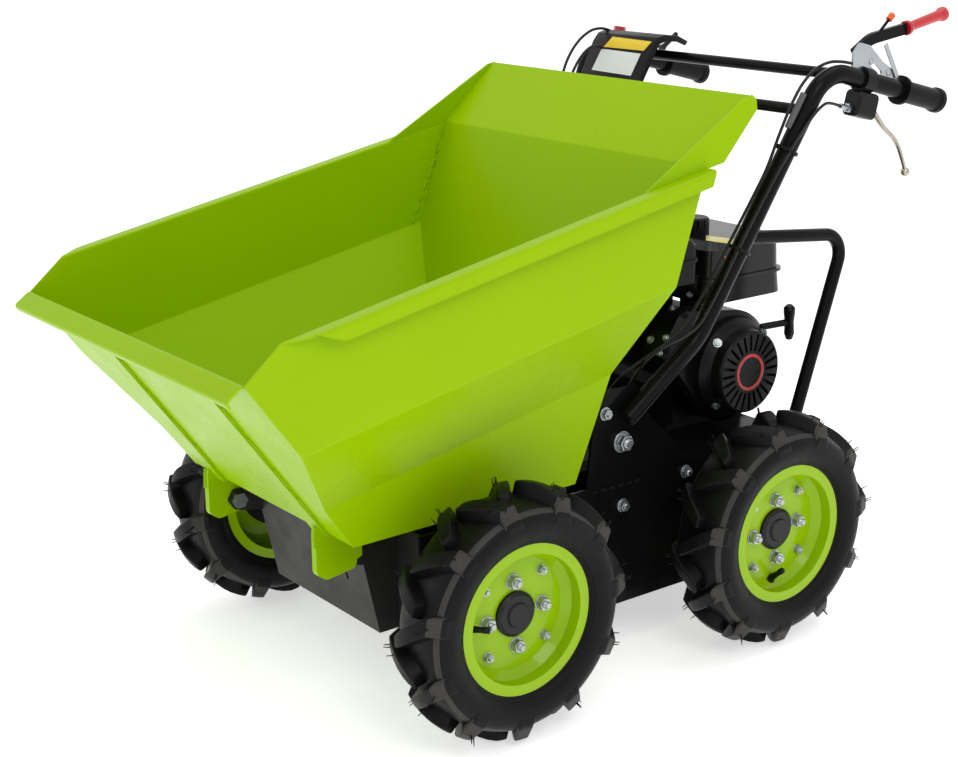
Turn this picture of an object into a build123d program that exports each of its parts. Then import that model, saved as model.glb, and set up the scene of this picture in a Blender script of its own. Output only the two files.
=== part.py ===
"""Walk-behind four-wheel site dumper with a forward-tipping steel skip.

Frame: +X to the machine's left, -Y to the pouring lip, +Z up, millimetres.
The origin is on the ground, under the middle of the overall box.
"""

import os
from math import cos, radians, sin, tan

from build123d import *

os.makedirs("parts", exist_ok=True)

# Overall layout
wheelbase = 536.0
track = 661.0
lip_reach = 434.7  # lip ahead of the front axle
control_reach = 429.0  # red lever grip behind the rear axle
overall_length = lip_reach + wheelbase + control_reach
front_axle_y = lip_reach - overall_length / 2
rear_axle_y = front_axle_y + wheelbase
running_gap = 0.3  # between pieces that only pass or rest by each other
bearing_clearance = 0.05

# Tyres: two rows of slanted lugs, staggered by half a pitch
lug_radius = 193.0
tread_radius = 173.0
section_width = 106.0
lugs_per_side = 11
lug_width = 23.0
lug_slant = 12.0  # degrees round the wheel from shoulder end to centre end
lug_overlap = 17.0  # how far a lug passes the centre plane
lug_shoulder = 44.0  # half width over the lugs' tops
lug_phase = 3.9  # degrees from straight behind up to the first shoulder
bead_radius = 101.0
axle_z = lug_radius

# Disc wheels
rim_flange_radius = 116.0
rim_half_width = 39.0
rim_wall = 3.0
disc_offset = 5.5  # disc outboard of the tyre's centre plane
disc_wall = 4.0
disc_cone = 12.0  # slope between barrel and disc
hub_bore_radius = 30.0
hub_flange_radius = 62.0
hub_flange_wall = 8.0
hub_cap_radius = 34.0
hub_cap_height = 12.0
hub_boss_radius = 32.0
shaft_radius = 15.0

# Chassis box
plate = 5.0
chassis_half_width = 200.0
chassis_bottom_z = 75.0
chassis_top_z = 285.0
chassis_nose_y = front_axle_y - 98.0
chassis_tail_y = rear_axle_y + 190.0
nose_half_width = 146.0
nose_bottom_z = 122.0
nose_lean = 12.7  # degrees from upright
nose_recess = 30.0  # the closing plates beside the nose stand back by this
axle_tube_radius = 28.0
axle_tube_end = 285.0  # outboard end of each axle tube
bearing_plate_radius = 48.0
bearing_plate_wall = 8.0
belt_outer_x = -165.0
belt_cover_width = 40.0
deck_gap = 4.0  # round the belt cover where it passes the deck

# Skip
skip_wall = 3.0
trough_angle = 11.1  # rise of the top edge and the side bends to the rear
top_half = 323.0  # inside half widths
bend_two_half = 234.0
foot_half = 214.0
top_w = 707.0  # heights across the tilted trough
bend_one_w = 551.0
bend_two_w = 418.0
foot_w = 230.0
floor_z = 308.0
slope_angle = 54.0
lip_y = front_axle_y - 412.0
lip_z = 602.5
lip_flange = 28.0
lip_hem = 8.0
rear_foot_y = front_axle_y + 213.0
rear_lean = 18.1
rear_panel_lean = 46.0
rear_top_z = 889.0
wing_front_y = front_axle_y + 252.0
wing_lean = 8.0
wing_back = 21.0  # the wings pass behind the rear panel
fold_out = 25.0
fold_down = 22.0
bend_radius = 6.0
arm_centre = 157.0
ear_wall = 12.0
strap_width = 42.0
strap_wall = 5.0
pivot_y = front_axle_y - 172.0
pivot_z = 266.0
pivot_radius = 8.0

# Handlebar
tube_radius = 15.0
handle_half = 280.0
crossbar_radius = 9.0
guard_radius = 11.0
grip_radius = 19.0
grip_length = 103.0

# Engine
crank_y = front_axle_y + 648.0
crank_rise = 111.0  # crankshaft above the deck
crank_z = chassis_top_z + crank_rise
block_left_x = 65.0
shroud_depth = 55.0
shroud_radius = 98.0
recoil_x = 165.0
cylinder_slant = 25.0
cylinder_x = -25.0
fin_count = 7
fin_pitch = 12.0


def save(builder, name):
    """Label a finished piece and write its file."""
    builder.part.label = name
    export_step(builder.part, f"parts/{name}.step")


# Skip: planes of the plates
trough_tilt = radians(trough_angle)
along = Vector(0, cos(trough_tilt), sin(trough_tilt))
across = Vector(0, -sin(trough_tilt), cos(trough_tilt))
axle_ground = Vector(0, front_axle_y, 0)
trough_length = 1300.0
trough_plane = Plane(origin=axle_ground + along * (trough_length / 2), x_dir=(1, 0, 0), z_dir=-along)
slope_up = Vector(0, -cos(radians(slope_angle)), sin(radians(slope_angle)))
slope_out = Vector(0, -sin(radians(slope_angle)), -cos(radians(slope_angle)))
lip_point = Vector(0, lip_y, lip_z)
slope_plane = Plane(origin=lip_point, x_dir=(1, 0, 0), z_dir=slope_out)
rear_out = Vector(0, cos(radians(rear_lean)), -sin(radians(rear_lean)))
rear_foot = Vector(0, rear_foot_y, floor_z)
rear_plane = Plane(origin=rear_foot, x_dir=(1, 0, 0), z_dir=rear_out)
floor_plane = Plane(origin=(0, 0, floor_z), z_dir=(0, 0, 1))
edge_plane = Plane(origin=axle_ground + across * top_w, x_dir=(1, 0, 0), z_dir=across)
side_nose_run = 56.0  # the side panels' top corner is set back from the lip
side_nose_rise = 47.5
side_nose_dir = Vector(0, -side_nose_rise, side_nose_run).normalized()
side_nose_plane = Plane(origin=lip_point, x_dir=(1, 0, 0), z_dir=side_nose_dir)

# Foot of the slope, and the bend where the rear wall meets the line of the top edge
slope_foot_y = lip_y + (lip_z - floor_z) / tan(radians(slope_angle))
rise = tan(trough_tilt)
lean = tan(radians(rear_lean))
edge_z_at_axle = top_w / cos(trough_tilt)
rear_bend_z = (edge_z_at_axle + rise * (rear_foot_y - front_axle_y - lean * floor_z)) / (1 - rise * lean)
rear_bend = Vector(0, rear_foot_y + lean * (rear_bend_z - floor_z), rear_bend_z)
rear_top_y = rear_bend.Y + tan(radians(rear_panel_lean)) * (rear_top_z - rear_bend_z)
rear_top = Vector(0, rear_top_y, rear_top_z)

# Inner face of a side panel, from its foot to the inside of the folded edge
edge_bend = skip_wall + running_gap
panel_points = [
    (foot_half, foot_w),
    (bend_two_half, bend_two_w),
    (top_half, bend_one_w),
    (top_half, top_w),
]
fold_points = [(top_half + fold_out, top_w), (top_half + fold_out, top_w - fold_down)]

# Inside of the trough, open at the top, as a tool to trim the cross plates
tool_height = 400.0
tool_top_half = top_half - tool_height * tan(radians(wing_lean))
with BuildPart() as trough_inside:
    with BuildSketch(trough_plane):
        with BuildLine():
            side_line = FilletPolyline(*panel_points, radius=bend_radius)
            Polyline(
                side_line @ 1,
                (tool_top_half, top_w + tool_height),
                (0, top_w + tool_height),
                (0, foot_w),
                side_line @ 0,
            )
        make_face()
        mirror(about=Plane.YZ)
    extrude(amount=trough_length)

# Skip: side panels with two bends and a folded top edge, whose front end is cut back
fold_front_y = lip_y + side_nose_run
fold_front_z = lip_z + side_nose_rise
fold_plan_cut = 2.0  # run to the rear for each millimetre out
fold_front_drop = 0.35
with BuildPart() as skip_left_side:
    with BuildSketch(trough_plane):
        with BuildLine():
            FilletPolyline(
                *panel_points,
                *fold_points,
                radius=[bend_radius, bend_radius, edge_bend, bend_radius],
            )
            offset(amount=skip_wall, side=Side.RIGHT)
        make_face()
    extrude(amount=trough_length)
    split(bisect_by=slope_plane, keep=Keep.BOTTOM)
    split(bisect_by=side_nose_plane, keep=Keep.BOTTOM)
    split(bisect_by=rear_plane, keep=Keep.BOTTOM)
    split(bisect_by=floor_plane, keep=Keep.TOP)
    with BuildSketch(Plane.XY.offset(lip_z)):
        with BuildLine():
            Polyline(
                (top_half + skip_wall, lip_y),
                (top_half + 2 * fold_out, lip_y),
                (top_half + 2 * fold_out, fold_front_y + fold_plan_cut * (2 * fold_out - skip_wall)),
                (top_half + skip_wall, fold_front_y),
                close=True,
            )
        make_face()
    extrude(amount=2 * side_nose_rise, mode=Mode.SUBTRACT)
    with BuildSketch(Plane.YZ.offset(top_half + fold_out - bend_radius)):
        with BuildLine():
            Polyline(
                (fold_front_y, fold_front_z + fold_down),
                (fold_front_y + 4 * fold_down, fold_front_z + fold_down * (1 - 4 * fold_front_drop)),
                (fold_front_y, fold_front_z - 2 * fold_down),
                close=True,
            )
        make_face()
    extrude(amount=fold_out, mode=Mode.SUBTRACT)
save(skip_left_side, "skip_left_side")

with BuildPart() as skip_right_side:
    mirror(skip_left_side.part, about=Plane.YZ)
save(skip_right_side, "skip_right_side")

# Skip: floor, pouring slope and the lip's turned flange with its hem, one bent sheet
floor_bend = 8.0
lip_bend = 3.3
lip_front = lip_point + slope_out * lip_flange
hem_end = lip_front - slope_up * lip_hem
with BuildPart() as skip_floor:
    with BuildSketch(Plane.YZ.offset(-top_half)):
        with BuildLine():
            FilletPolyline(
                (rear_foot_y, floor_z),
                (slope_foot_y, floor_z),
                (lip_y, lip_z),
                (lip_front.Y, lip_front.Z),
                (hem_end.Y, hem_end.Z),
                radius=[floor_bend, lip_bend, lip_bend],
            )
            offset(amount=skip_wall, side=Side.RIGHT)
        make_face()
    extrude(amount=2 * top_half)
    split(bisect_by=rear_plane.offset(-skip_wall), keep=Keep.BOTTOM)
    add(trough_inside.part, mode=Mode.INTERSECT)
save(skip_floor, "skip_floor")

# Skip: rear wall, bent back above the side panels
with BuildPart() as skip_rear_wall:
    with BuildSketch(Plane.YZ.offset(-top_half)):
        with BuildLine():
            FilletPolyline(
                (rear_foot_y, floor_z),
                (rear_bend.Y, rear_bend.Z),
                (rear_top_y, rear_top_z),
                radius=bend_radius,
            )
            offset(amount=skip_wall, side=Side.LEFT)
        make_face()
    extrude(amount=2 * top_half)
    split(bisect_by=floor_plane, keep=Keep.TOP)
    add(trough_inside.part, mode=Mode.INTERSECT)
save(skip_rear_wall, "skip_rear_wall")

# Skip: wings beside the rear panel, leaning inward from the side panels' top edges
wing_tilt = radians(wing_lean)
wing_up = across * cos(wing_tilt) - Vector(sin(wing_tilt), 0, 0)
wing_plane = Plane(
    origin=rear_bend + Vector(top_half, 0, 0), x_dir=along, z_dir=along.cross(wing_up)
)
panel_rise = rear_top - rear_bend
panel_top = Vector(panel_rise.dot(along), panel_rise.dot(across) / cos(wing_tilt))
panel_dir = panel_top.normalized()
back = Vector(panel_dir.Y, -panel_dir.X)
crest = panel_top + panel_dir * 3
wing_reach = (rear_bend.Y - wing_front_y) / cos(trough_tilt)
wing_bevel = 10.0
wing_crest = 16.0  # flat run of the wing's top corner
wing_root = 2.0  # stands into the rounded corner of the fold
with BuildPart() as skip_wings:
    with BuildSketch(wing_plane):
        with BuildLine():
            Polyline(
                (-wing_reach, -wing_root),
                (-wing_reach, 0),
                crest - Vector(wing_crest, 0),
                crest,
                crest + back * (wing_back - wing_bevel),
                crest + back * wing_back - panel_dir * wing_bevel,
                (panel_dir + back) * wing_back,
                (wing_back, 0),
                (wing_back, -wing_root),
                close=True,
            )
        make_face()
    extrude(amount=skip_wall)
    add(skip_left_side.part, mode=Mode.SUBTRACT)
    split(bisect_by=edge_plane.offset(-wing_root), keep=Keep.TOP)
    mirror(about=Plane.YZ)
save(skip_wings, "skip_wings")

# Skip: straps down the slope, each with a rounded ear at its foot
ear_front_y = pivot_y - 47
ear_low_y = pivot_y - 31
ear_rear_y = pivot_y + 21
ear_corner = 11.0
slope_length = (lip_z - floor_z) / sin(radians(slope_angle))
strap_top_gap = lip_hem + 4.0
strap_start = lip_point - slope_up * slope_length
strap_plane = Plane(origin=strap_start, x_dir=(1, 0, 0), z_dir=slope_up)
strap_x = arm_centre + ear_wall / 2 + 7 - strap_width / 2
with BuildPart() as skip_pivot_arms:
    with BuildSketch(strap_plane):
        with Locations((strap_x, -strap_wall / 2)):
            Rectangle(strap_width, strap_wall)
    extrude(amount=slope_length - strap_top_gap)
    with BuildSketch(Plane.YZ.offset(arm_centre - ear_wall / 2)):
        with BuildLine():
            Polyline(
                (slope_foot_y, floor_z),
                (slope_foot_y - 18, floor_z + 18 * tan(radians(slope_angle))),
                (ear_front_y, floor_z + 3),
                (ear_front_y, pivot_z - 16),
                (ear_low_y, pivot_z - 27),
                (ear_rear_y, pivot_z - 20),
                (ear_rear_y, pivot_z - 8),
                (ear_rear_y + 9, pivot_z - 4),
                (ear_rear_y + 9, chassis_top_z),
                (pivot_y + 48, floor_z),
                close=True,
            )
        ear_face = make_face()
        fillet(ear_face.vertices().sort_by(Axis.Y)[0:3], ear_corner)
    extrude(amount=ear_wall)
    with Locations(Plane(origin=(arm_centre - ear_wall / 2, pivot_y, pivot_z), z_dir=(-1, 0, 0))):
        Hole(radius=pivot_radius + bearing_clearance, depth=ear_wall - skip_wall)
    mirror(about=Plane.YZ)
save(skip_pivot_arms, "skip_pivot_arms")


# Wheels
def wheel_plane(side, y):
    """Half-section plane of a wheel: local x outboard, local y up."""
    return Plane(origin=(side * track / 2, y, axle_z), x_dir=(side, 0, 0), z_dir=(0, -side, 0))


def make_tyre(side, y, name):
    """Lugged tyre as one solid: slanted bars cut to the lugs' outer form, on a plain carcass."""
    section = wheel_plane(side, y)
    axis = Axis((0, y, axle_z), (1, 0, 0))
    half = section_width / 2
    seat_half = rim_half_width - rim_wall
    with BuildPart() as lug_form:
        with BuildSketch(section):
            with BuildLine():
                Polyline(
                    (0, tread_radius - 12),
                    (half - 3, tread_radius - 14),
                    (lug_shoulder, lug_radius - 12),
                    (lug_overlap, lug_radius - 1.5),
                    (0, lug_radius),
                )
                mirror(about=Plane.YZ)
            make_face()
        revolve(axis=axis)
    with BuildPart() as bars:
        pitch = 360 / lugs_per_side
        reach = radians(lug_slant) * tread_radius / 2
        for hand in (1, -1):
            for count in range(lugs_per_side):
                phase = lug_phase + lug_slant / 2 + (0 if hand > 0 else pitch / 2)
                angle = radians(phase + pitch * count)
                radial = Vector(0, cos(angle), sin(angle))
                foot = Vector(section.origin) + radial * (tread_radius - 15)
                x_in = hand * side * -lug_overlap
                x_out = hand * side * half
                with BuildSketch(Plane(origin=foot, x_dir=(1, 0, 0), z_dir=radial)):
                    with BuildLine():
                        Polyline(
                            (x_in, -reach),
                            (x_in + hand * side * lug_width / 3, -reach - lug_width / 2),
                            (x_out, reach - lug_width / 2),
                            (x_out, reach + lug_width / 2),
                            (x_in + hand * side * lug_width / 3, -reach + lug_width / 2),
                            close=True,
                        )
                    make_face()
                extrude(amount=lug_radius - tread_radius + 30)
    with BuildPart() as tyre:
        add(bars.part)
        add(lug_form.part, mode=Mode.INTERSECT)
        with BuildSketch(section):
            with BuildLine():
                Polyline(
                    (0, tread_radius),
                    (lug_shoulder, tread_radius - 8),
                    (half, tread_radius - 24),
                    (half, rim_flange_radius + 16),
                    (rim_half_width + 1, rim_flange_radius + 2),
                    (seat_half, rim_flange_radius),
                    (seat_half, bead_radius),
                    (0, bead_radius),
                )
                mirror(about=Plane.YZ)
            make_face()
        revolve(axis=axis)
    save(tyre, name)


def make_rim(side, y, name):
    """Two-piece disc rim with turned flanges and a coned disc."""
    section = wheel_plane(side, y)
    axis = Axis((0, y, axle_z), (1, 0, 0))
    seat_half = rim_half_width - rim_wall
    barrel = bead_radius - rim_wall
    disc_face = disc_offset + disc_wall / 2
    disc_back = disc_offset - disc_wall / 2
    with BuildPart() as rim:
        with BuildSketch(section):
            with BuildLine():
                Polyline(
                    (-rim_half_width, rim_flange_radius),
                    (-seat_half, rim_flange_radius),
                    (-seat_half, bead_radius),
                    (seat_half, bead_radius),
                    (seat_half, rim_flange_radius),
                    (rim_half_width, rim_flange_radius),
                    (rim_half_width, barrel),
                    (disc_face + disc_cone, barrel),
                    (disc_face, barrel - disc_cone),
                    (disc_face, hub_bore_radius),
                    (disc_back, hub_bore_radius),
                    (disc_back, barrel - disc_cone),
                    (disc_back - rim_wall, barrel),
                    (-rim_half_width, barrel),
                    close=True,
                )
            make_face()
        revolve(axis=axis)
    save(rim, name)


def make_hub(side, y, name):
    """Hub flange, centre cap and drive shaft stub, turned in one."""
    section = wheel_plane(side, y)
    axis = Axis((0, y, axle_z), (1, 0, 0))
    inner = disc_offset - disc_wall / 2
    outer = disc_offset + disc_wall / 2
    cap_top = outer + hub_cap_height
    tube_gap = axle_tube_end + 3 - track / 2
    shaft_end = chassis_half_width + plate - track / 2
    with BuildPart() as hub:
        with BuildSketch(section):
            with BuildLine():
                Polyline(
                    (cap_top, 0),
                    (cap_top, hub_cap_radius / 2),
                    (cap_top - 3, hub_cap_radius / 2 + 2),
                    (cap_top - 3, hub_cap_radius - 5),
                    (cap_top - 7, hub_cap_radius),
                    (outer, hub_cap_radius),
                    (outer, hub_bore_radius),
                    (inner, hub_bore_radius),
                    (inner, hub_flange_radius),
                    (inner - hub_flange_wall, hub_flange_radius),
                    (inner - hub_flange_wall, hub_boss_radius),
                    (tube_gap, hub_boss_radius),
                    (tube_gap, shaft_radius),
                    (shaft_end, shaft_radius),
                    (shaft_end, 0),
                    close=True,
                )
            make_face()
        revolve(axis=axis)
    save(hub, name)


for side, side_name in ((1, "left"), (-1, "right")):
    for y, end_name in ((front_axle_y, "front"), (rear_axle_y, "rear")):
        make_tyre(side, y, f"tyre_{end_name}_{side_name}")
        make_rim(side, y, f"rim_{end_name}_{side_name}")
        make_hub(side, y, f"hub_{end_name}_{side_name}")

# Chassis: side plates between the wheels, with a tower behind the skip for the handlebar
tower_front_y = front_axle_y + 250.0
tower_rear_y = front_axle_y + 464.0
tower_top_z = 440.0
tower_waist_y = front_axle_y + 386.0
tower_waist_z = 373.0
axle_ys = (front_axle_y, rear_axle_y)
with BuildPart() as chassis_left_side:
    with BuildSketch(Plane.YZ.offset(chassis_half_width)):
        with BuildLine():
            Polyline(
                (tower_waist_y, tower_waist_z),
                (tower_waist_y - 36, tower_top_z),
                (tower_front_y + 20, tower_top_z),
                (tower_front_y, chassis_top_z),
                (chassis_nose_y + nose_recess, chassis_top_z),
                (chassis_nose_y + nose_recess, nose_bottom_z),
                (chassis_nose_y + 2 * nose_recess, chassis_bottom_z),
                (chassis_tail_y, chassis_bottom_z),
                (chassis_tail_y, chassis_top_z),
                (tower_rear_y, chassis_top_z),
            )
            RadiusArc((tower_rear_y, chassis_top_z), (tower_waist_y, tower_waist_z), -240)
        make_face()
    extrude(amount=plate)
    for y in axle_ys:
        with Locations(Plane(origin=(chassis_half_width, y, axle_z), z_dir=(1, 0, 0))):
            Hole(radius=axle_tube_radius)
save(chassis_left_side, "chassis_left_side")

with BuildPart() as chassis_right_side:
    mirror(chassis_left_side.part, about=Plane.YZ)
save(chassis_right_side, "chassis_right_side")

# Chassis: leaning nose plate with folded sides and a slot, between set-back closing plates.
# A lug on each folded side carries the skip's pivot.
nose_run = (chassis_top_z - nose_bottom_z) * tan(radians(nose_lean))
nose_top_y = chassis_nose_y - nose_run
recess_y = chassis_nose_y + nose_recess
lug_outer = arm_centre - ear_wall / 2 - running_gap
lug_wall = 8.0
lug_root = 26.0  # height of the lug's root below the pivot
slot_place = (87.0, 200.0)
slot_height = 14.0
slot_width = 6.0
with BuildPart() as chassis_nose:
    with BuildSketch(Plane.YZ.offset(-nose_half_width)):
        with BuildLine():
            Polyline(
                (chassis_nose_y, nose_bottom_z),
                (nose_top_y, chassis_top_z),
                (nose_top_y - plate, chassis_top_z),
                (chassis_nose_y - plate, nose_bottom_z),
                close=True,
            )
        make_face()
    extrude(amount=2 * nose_half_width)
    with BuildSketch(Plane.XZ.offset(-chassis_nose_y)):
        with Locations(slot_place):
            SlotOverall(slot_height, slot_width, rotation=90)
    extrude(amount=2 * nose_run, mode=Mode.SUBTRACT)
    with BuildSketch(Plane.YZ.offset(nose_half_width - plate)):
        with BuildLine():
            Polyline(
                (chassis_nose_y, nose_bottom_z),
                (nose_top_y, chassis_top_z),
                (recess_y, chassis_top_z),
                (recess_y, nose_bottom_z),
                close=True,
            )
        make_face()
    extrude(amount=plate)
    with BuildSketch(Plane.XY.offset(nose_bottom_z)):
        with Locations(((nose_half_width - plate + chassis_half_width) / 2, recess_y + plate / 2)):
            Rectangle(chassis_half_width - nose_half_width + plate, plate)
    extrude(amount=chassis_top_z - nose_bottom_z)
    with BuildSketch(Plane.YZ.offset(lug_outer - lug_wall)):
        with BuildLine():
            Polyline(
                (nose_top_y + plate, pivot_z - lug_root),
                (pivot_y - 6, pivot_z - 16),
                (pivot_y - 16, pivot_z),
                (pivot_y - 6, pivot_z + 16),
                (nose_top_y + plate, chassis_top_z),
                close=True,
            )
        lug_face = make_face()
        fillet(lug_face.vertices().sort_by(Axis.X)[0:3], 5)
    extrude(amount=lug_wall)
    with Locations(Plane(origin=(arm_centre, pivot_y, pivot_z), z_dir=(1, 0, 0))):
        Hole(radius=pivot_radius)
    right_half = split(bisect_by=Plane.YZ, keep=Keep.TOP, mode=Mode.PRIVATE)
    mirror(right_half, about=Plane.YZ)
save(chassis_nose, "chassis_nose")

# Chassis: belly plate behind the front axle, and tail plate, one bent sheet
belly_front_y = front_axle_y + 60.0
with BuildPart() as chassis_belly:
    with BuildSketch(Plane.YZ.offset(-chassis_half_width)):
        with BuildLine():
            FilletPolyline(
                (belly_front_y, chassis_bottom_z),
                (chassis_tail_y, chassis_bottom_z),
                (chassis_tail_y, chassis_top_z),
                radius=2 * plate,
            )
            offset(amount=plate, side=Side.LEFT)
        make_face()
    extrude(amount=2 * chassis_half_width)
save(chassis_belly, "chassis_belly")

# Skip pivot bolts, put in from the inside and ending in the ears' blind holes
bolt_head_radius = 13.0
bolt_head_height = 8.0
bolt_end_x = arm_centre + ear_wall / 2 - skip_wall - running_gap
with BuildPart() as skip_pivot_bolts:
    with BuildSketch(Plane.YZ.offset(lug_outer - lug_wall)):
        with Locations((pivot_y, pivot_z)):
            Circle(pivot_radius)
    extrude(amount=bolt_end_x - lug_outer + lug_wall)
    with BuildSketch(Plane.YZ.offset(lug_outer - lug_wall - bolt_head_height)):
        with Locations((pivot_y, pivot_z)):
            RegularPolygon(bolt_head_radius, 6)
    extrude(amount=bolt_head_height)
    mirror(about=Plane.YZ)
save(skip_pivot_bolts, "skip_pivot_bolts")

# Deck that carries the engine, open round the belt cover
deck_front_y = front_axle_y + 430.0
belt_rear_y = crank_y + 70.0
belt_front_y = crank_y - 210.0
deck_rear_y = chassis_tail_y - plate
with BuildPart() as engine_deck:
    with BuildSketch(Plane.XY.offset(chassis_top_z - plate)):
        with Locations((0, (deck_front_y + deck_rear_y) / 2)):
            Rectangle(2 * chassis_half_width, deck_rear_y - deck_front_y)
        with Locations((belt_outer_x + belt_cover_width / 2, (belt_front_y + belt_rear_y) / 2)):
            Rectangle(
                belt_cover_width + 2 * deck_gap,
                belt_rear_y - belt_front_y + 2 * deck_gap,
                mode=Mode.SUBTRACT,
            )
    extrude(amount=plate)
save(engine_deck, "engine_deck")

# Cross channel with two pads, on which the skip's floor rests
rest_y = front_axle_y + 150.0
rest_size = 40.0
rest_wall = 4.0
rest_pad_length = 60.0
rest_pad_x = 150.0
with BuildPart() as skip_rests:
    with BuildSketch(Plane.YZ.offset(-chassis_half_width)):
        with Locations((rest_y, chassis_top_z - rest_size / 2)):
            Rectangle(rest_size, rest_size)
        with Locations((rest_y, chassis_top_z - rest_wall - rest_size / 2)):
            Rectangle(rest_size - 2 * rest_wall, rest_size, mode=Mode.SUBTRACT)
    extrude(amount=2 * chassis_half_width)
    with BuildSketch(Plane.XY.offset(chassis_top_z)):
        with Locations((-rest_pad_x, rest_y), (rest_pad_x, rest_y)):
            Rectangle(rest_pad_length, rest_size)
    extrude(amount=floor_z - chassis_top_z - running_gap)
save(skip_rests, "skip_rests")

# Axle tubes with bearing plates
tube_entry = 10.0  # the tubes reach this far inside the side plates
with BuildPart() as axle_tubes:
    for y in axle_ys:
        with BuildSketch(Plane(origin=(chassis_half_width - tube_entry, y, axle_z), z_dir=(1, 0, 0))):
            Circle(axle_tube_radius)
            Circle(shaft_radius + bearing_clearance, mode=Mode.SUBTRACT)
        extrude(amount=axle_tube_end - chassis_half_width + tube_entry)
        with BuildSketch(Plane(origin=(chassis_half_width + plate, y, axle_z), z_dir=(1, 0, 0))):
            Circle(bearing_plate_radius)
            Circle(axle_tube_radius, mode=Mode.SUBTRACT)
        extrude(amount=bearing_plate_wall)
    mirror(about=Plane.YZ)
save(axle_tubes, "axle_tubes")

# Gearbox on the belly plate
gearbox_width = 150.0
gearbox_length = 170.0
gearbox_height = 190.0
with BuildPart() as gearbox:
    with BuildSketch(Plane.XY.offset(chassis_bottom_z + plate)):
        with Locations((0, rear_axle_y - 150)):
            RectangleRounded(gearbox_width, gearbox_length, 20)
    extrude(amount=gearbox_height)
    chamfer(gearbox.faces().sort_by(Axis.Z)[-1].edges(), 12)
save(gearbox, "gearbox")

# Engine: crankcase on its foot, and the slanted cylinder with cooling fins and head
slant = radians(cylinder_slant)
cylinder_dir = Vector(0, -cos(slant), sin(slant))
cylinder_plane = Plane(origin=(cylinder_x, crank_y, crank_z), x_dir=(1, 0, 0), z_dir=cylinder_dir)
block_right_x = belt_outer_x + belt_cover_width
foot_wall = 10.0
barrel_size = 92.0
fin_size = 112.0
fin_wall = 4.0
fin_start = 80.0
head_start = fin_start + fin_count * fin_pitch
head_height = 20.0
port_y = crank_y - 148.0
port_top_z = crank_z + 130.0
intake_x = 20.0
exhaust_x = -68.0
port_size = 34.0
with BuildPart() as engine_block:
    with BuildSketch(Plane.YZ.offset(block_right_x)):
        with BuildLine():
            Polyline(
                (crank_y - 80, chassis_top_z),
                (crank_y + 85, chassis_top_z),
                (crank_y + 85, crank_z - 50),
                (crank_y + 70, crank_z + 70),
                (crank_y - 60, crank_z + 70),
                (crank_y - 90, crank_z - 40),
                close=True,
            )
        case_face = make_face()
        fillet(case_face.vertices().group_by(Axis.Y)[-1], 14)
    extrude(amount=block_left_x - block_right_x)
    with BuildSketch(Plane.XY.offset(chassis_top_z)):
        with Locations(((block_left_x + block_right_x) / 2, crank_y)):
            Rectangle(block_left_x - block_right_x, 2 * shroud_radius)
    extrude(amount=foot_wall)
    with BuildSketch(cylinder_plane):
        Rectangle(barrel_size, barrel_size)
    extrude(amount=head_start)
    for fin in range(fin_count):
        with BuildSketch(cylinder_plane.offset(fin_start + fin * fin_pitch)):
            Rectangle(fin_size, fin_size)
        extrude(amount=fin_wall)
    with BuildSketch(cylinder_plane.offset(head_start)):
        Rectangle(fin_size, fin_size)
    extrude(amount=head_height)
    chamfer(engine_block.faces().sort_by(Axis((0, 0, 0), cylinder_dir))[-1].edges(), 6)
    with BuildSketch(Plane.XY.offset(crank_z + 60)):
        with Locations((intake_x, port_y), (exhaust_x, port_y)):
            Rectangle(port_size, port_size)
    extrude(amount=port_top_z - crank_z - 60)
save(engine_block, "engine_block")

# Engine: fan shroud round the flywheel, drawn out to the cylinder
with BuildPart() as fan_shroud:
    with BuildSketch(Plane.YZ.offset(block_left_x)):
        with Locations((crank_y, crank_z)):
            Circle(shroud_radius)
        with Locations((crank_y - 128, crank_z + 45)):
            Circle(28)
        with Locations((crank_y - 105, crank_z + 92)):
            Circle(20)
        make_hull()
    extrude(amount=shroud_depth)
    chamfer(fan_shroud.faces().sort_by(Axis.X)[-1].edges(), 8)
save(fan_shroud, "fan_shroud")

# Engine: recoil starter cover, turned, with radial louvres round a plain centre
recoil_foot_x = block_left_x + shroud_depth
louvre_count = 24
louvre_inner = 37.0
louvre_outer = 66.0
louvre_width = 5.0
louvre_depth = 9.0
with BuildPart() as recoil_cover:
    with BuildSketch(Plane.XY.offset(crank_z)):
        with BuildLine():
            Polyline(
                (recoil_foot_x, crank_y),
                (recoil_foot_x, crank_y + 88),
                (recoil_foot_x + 10, crank_y + 87),
                (recoil_foot_x + 20, crank_y + 78),
                (recoil_foot_x + 24, crank_y + 73),
                (recoil_x - 3, crank_y + 71),
                (recoil_x, crank_y + 67),
                (recoil_x, crank_y),
                close=True,
            )
        make_face()
    revolve(axis=Axis((0, crank_y, crank_z), (1, 0, 0)))
    with BuildSketch(Plane.YZ.offset(recoil_x)):
        with Locations((crank_y, crank_z)):
            with PolarLocations((louvre_inner + louvre_outer) / 2, louvre_count):
                Rectangle(louvre_outer - louvre_inner, louvre_width)
    extrude(amount=-louvre_depth, mode=Mode.SUBTRACT)
save(recoil_cover, "recoil_cover")

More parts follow.
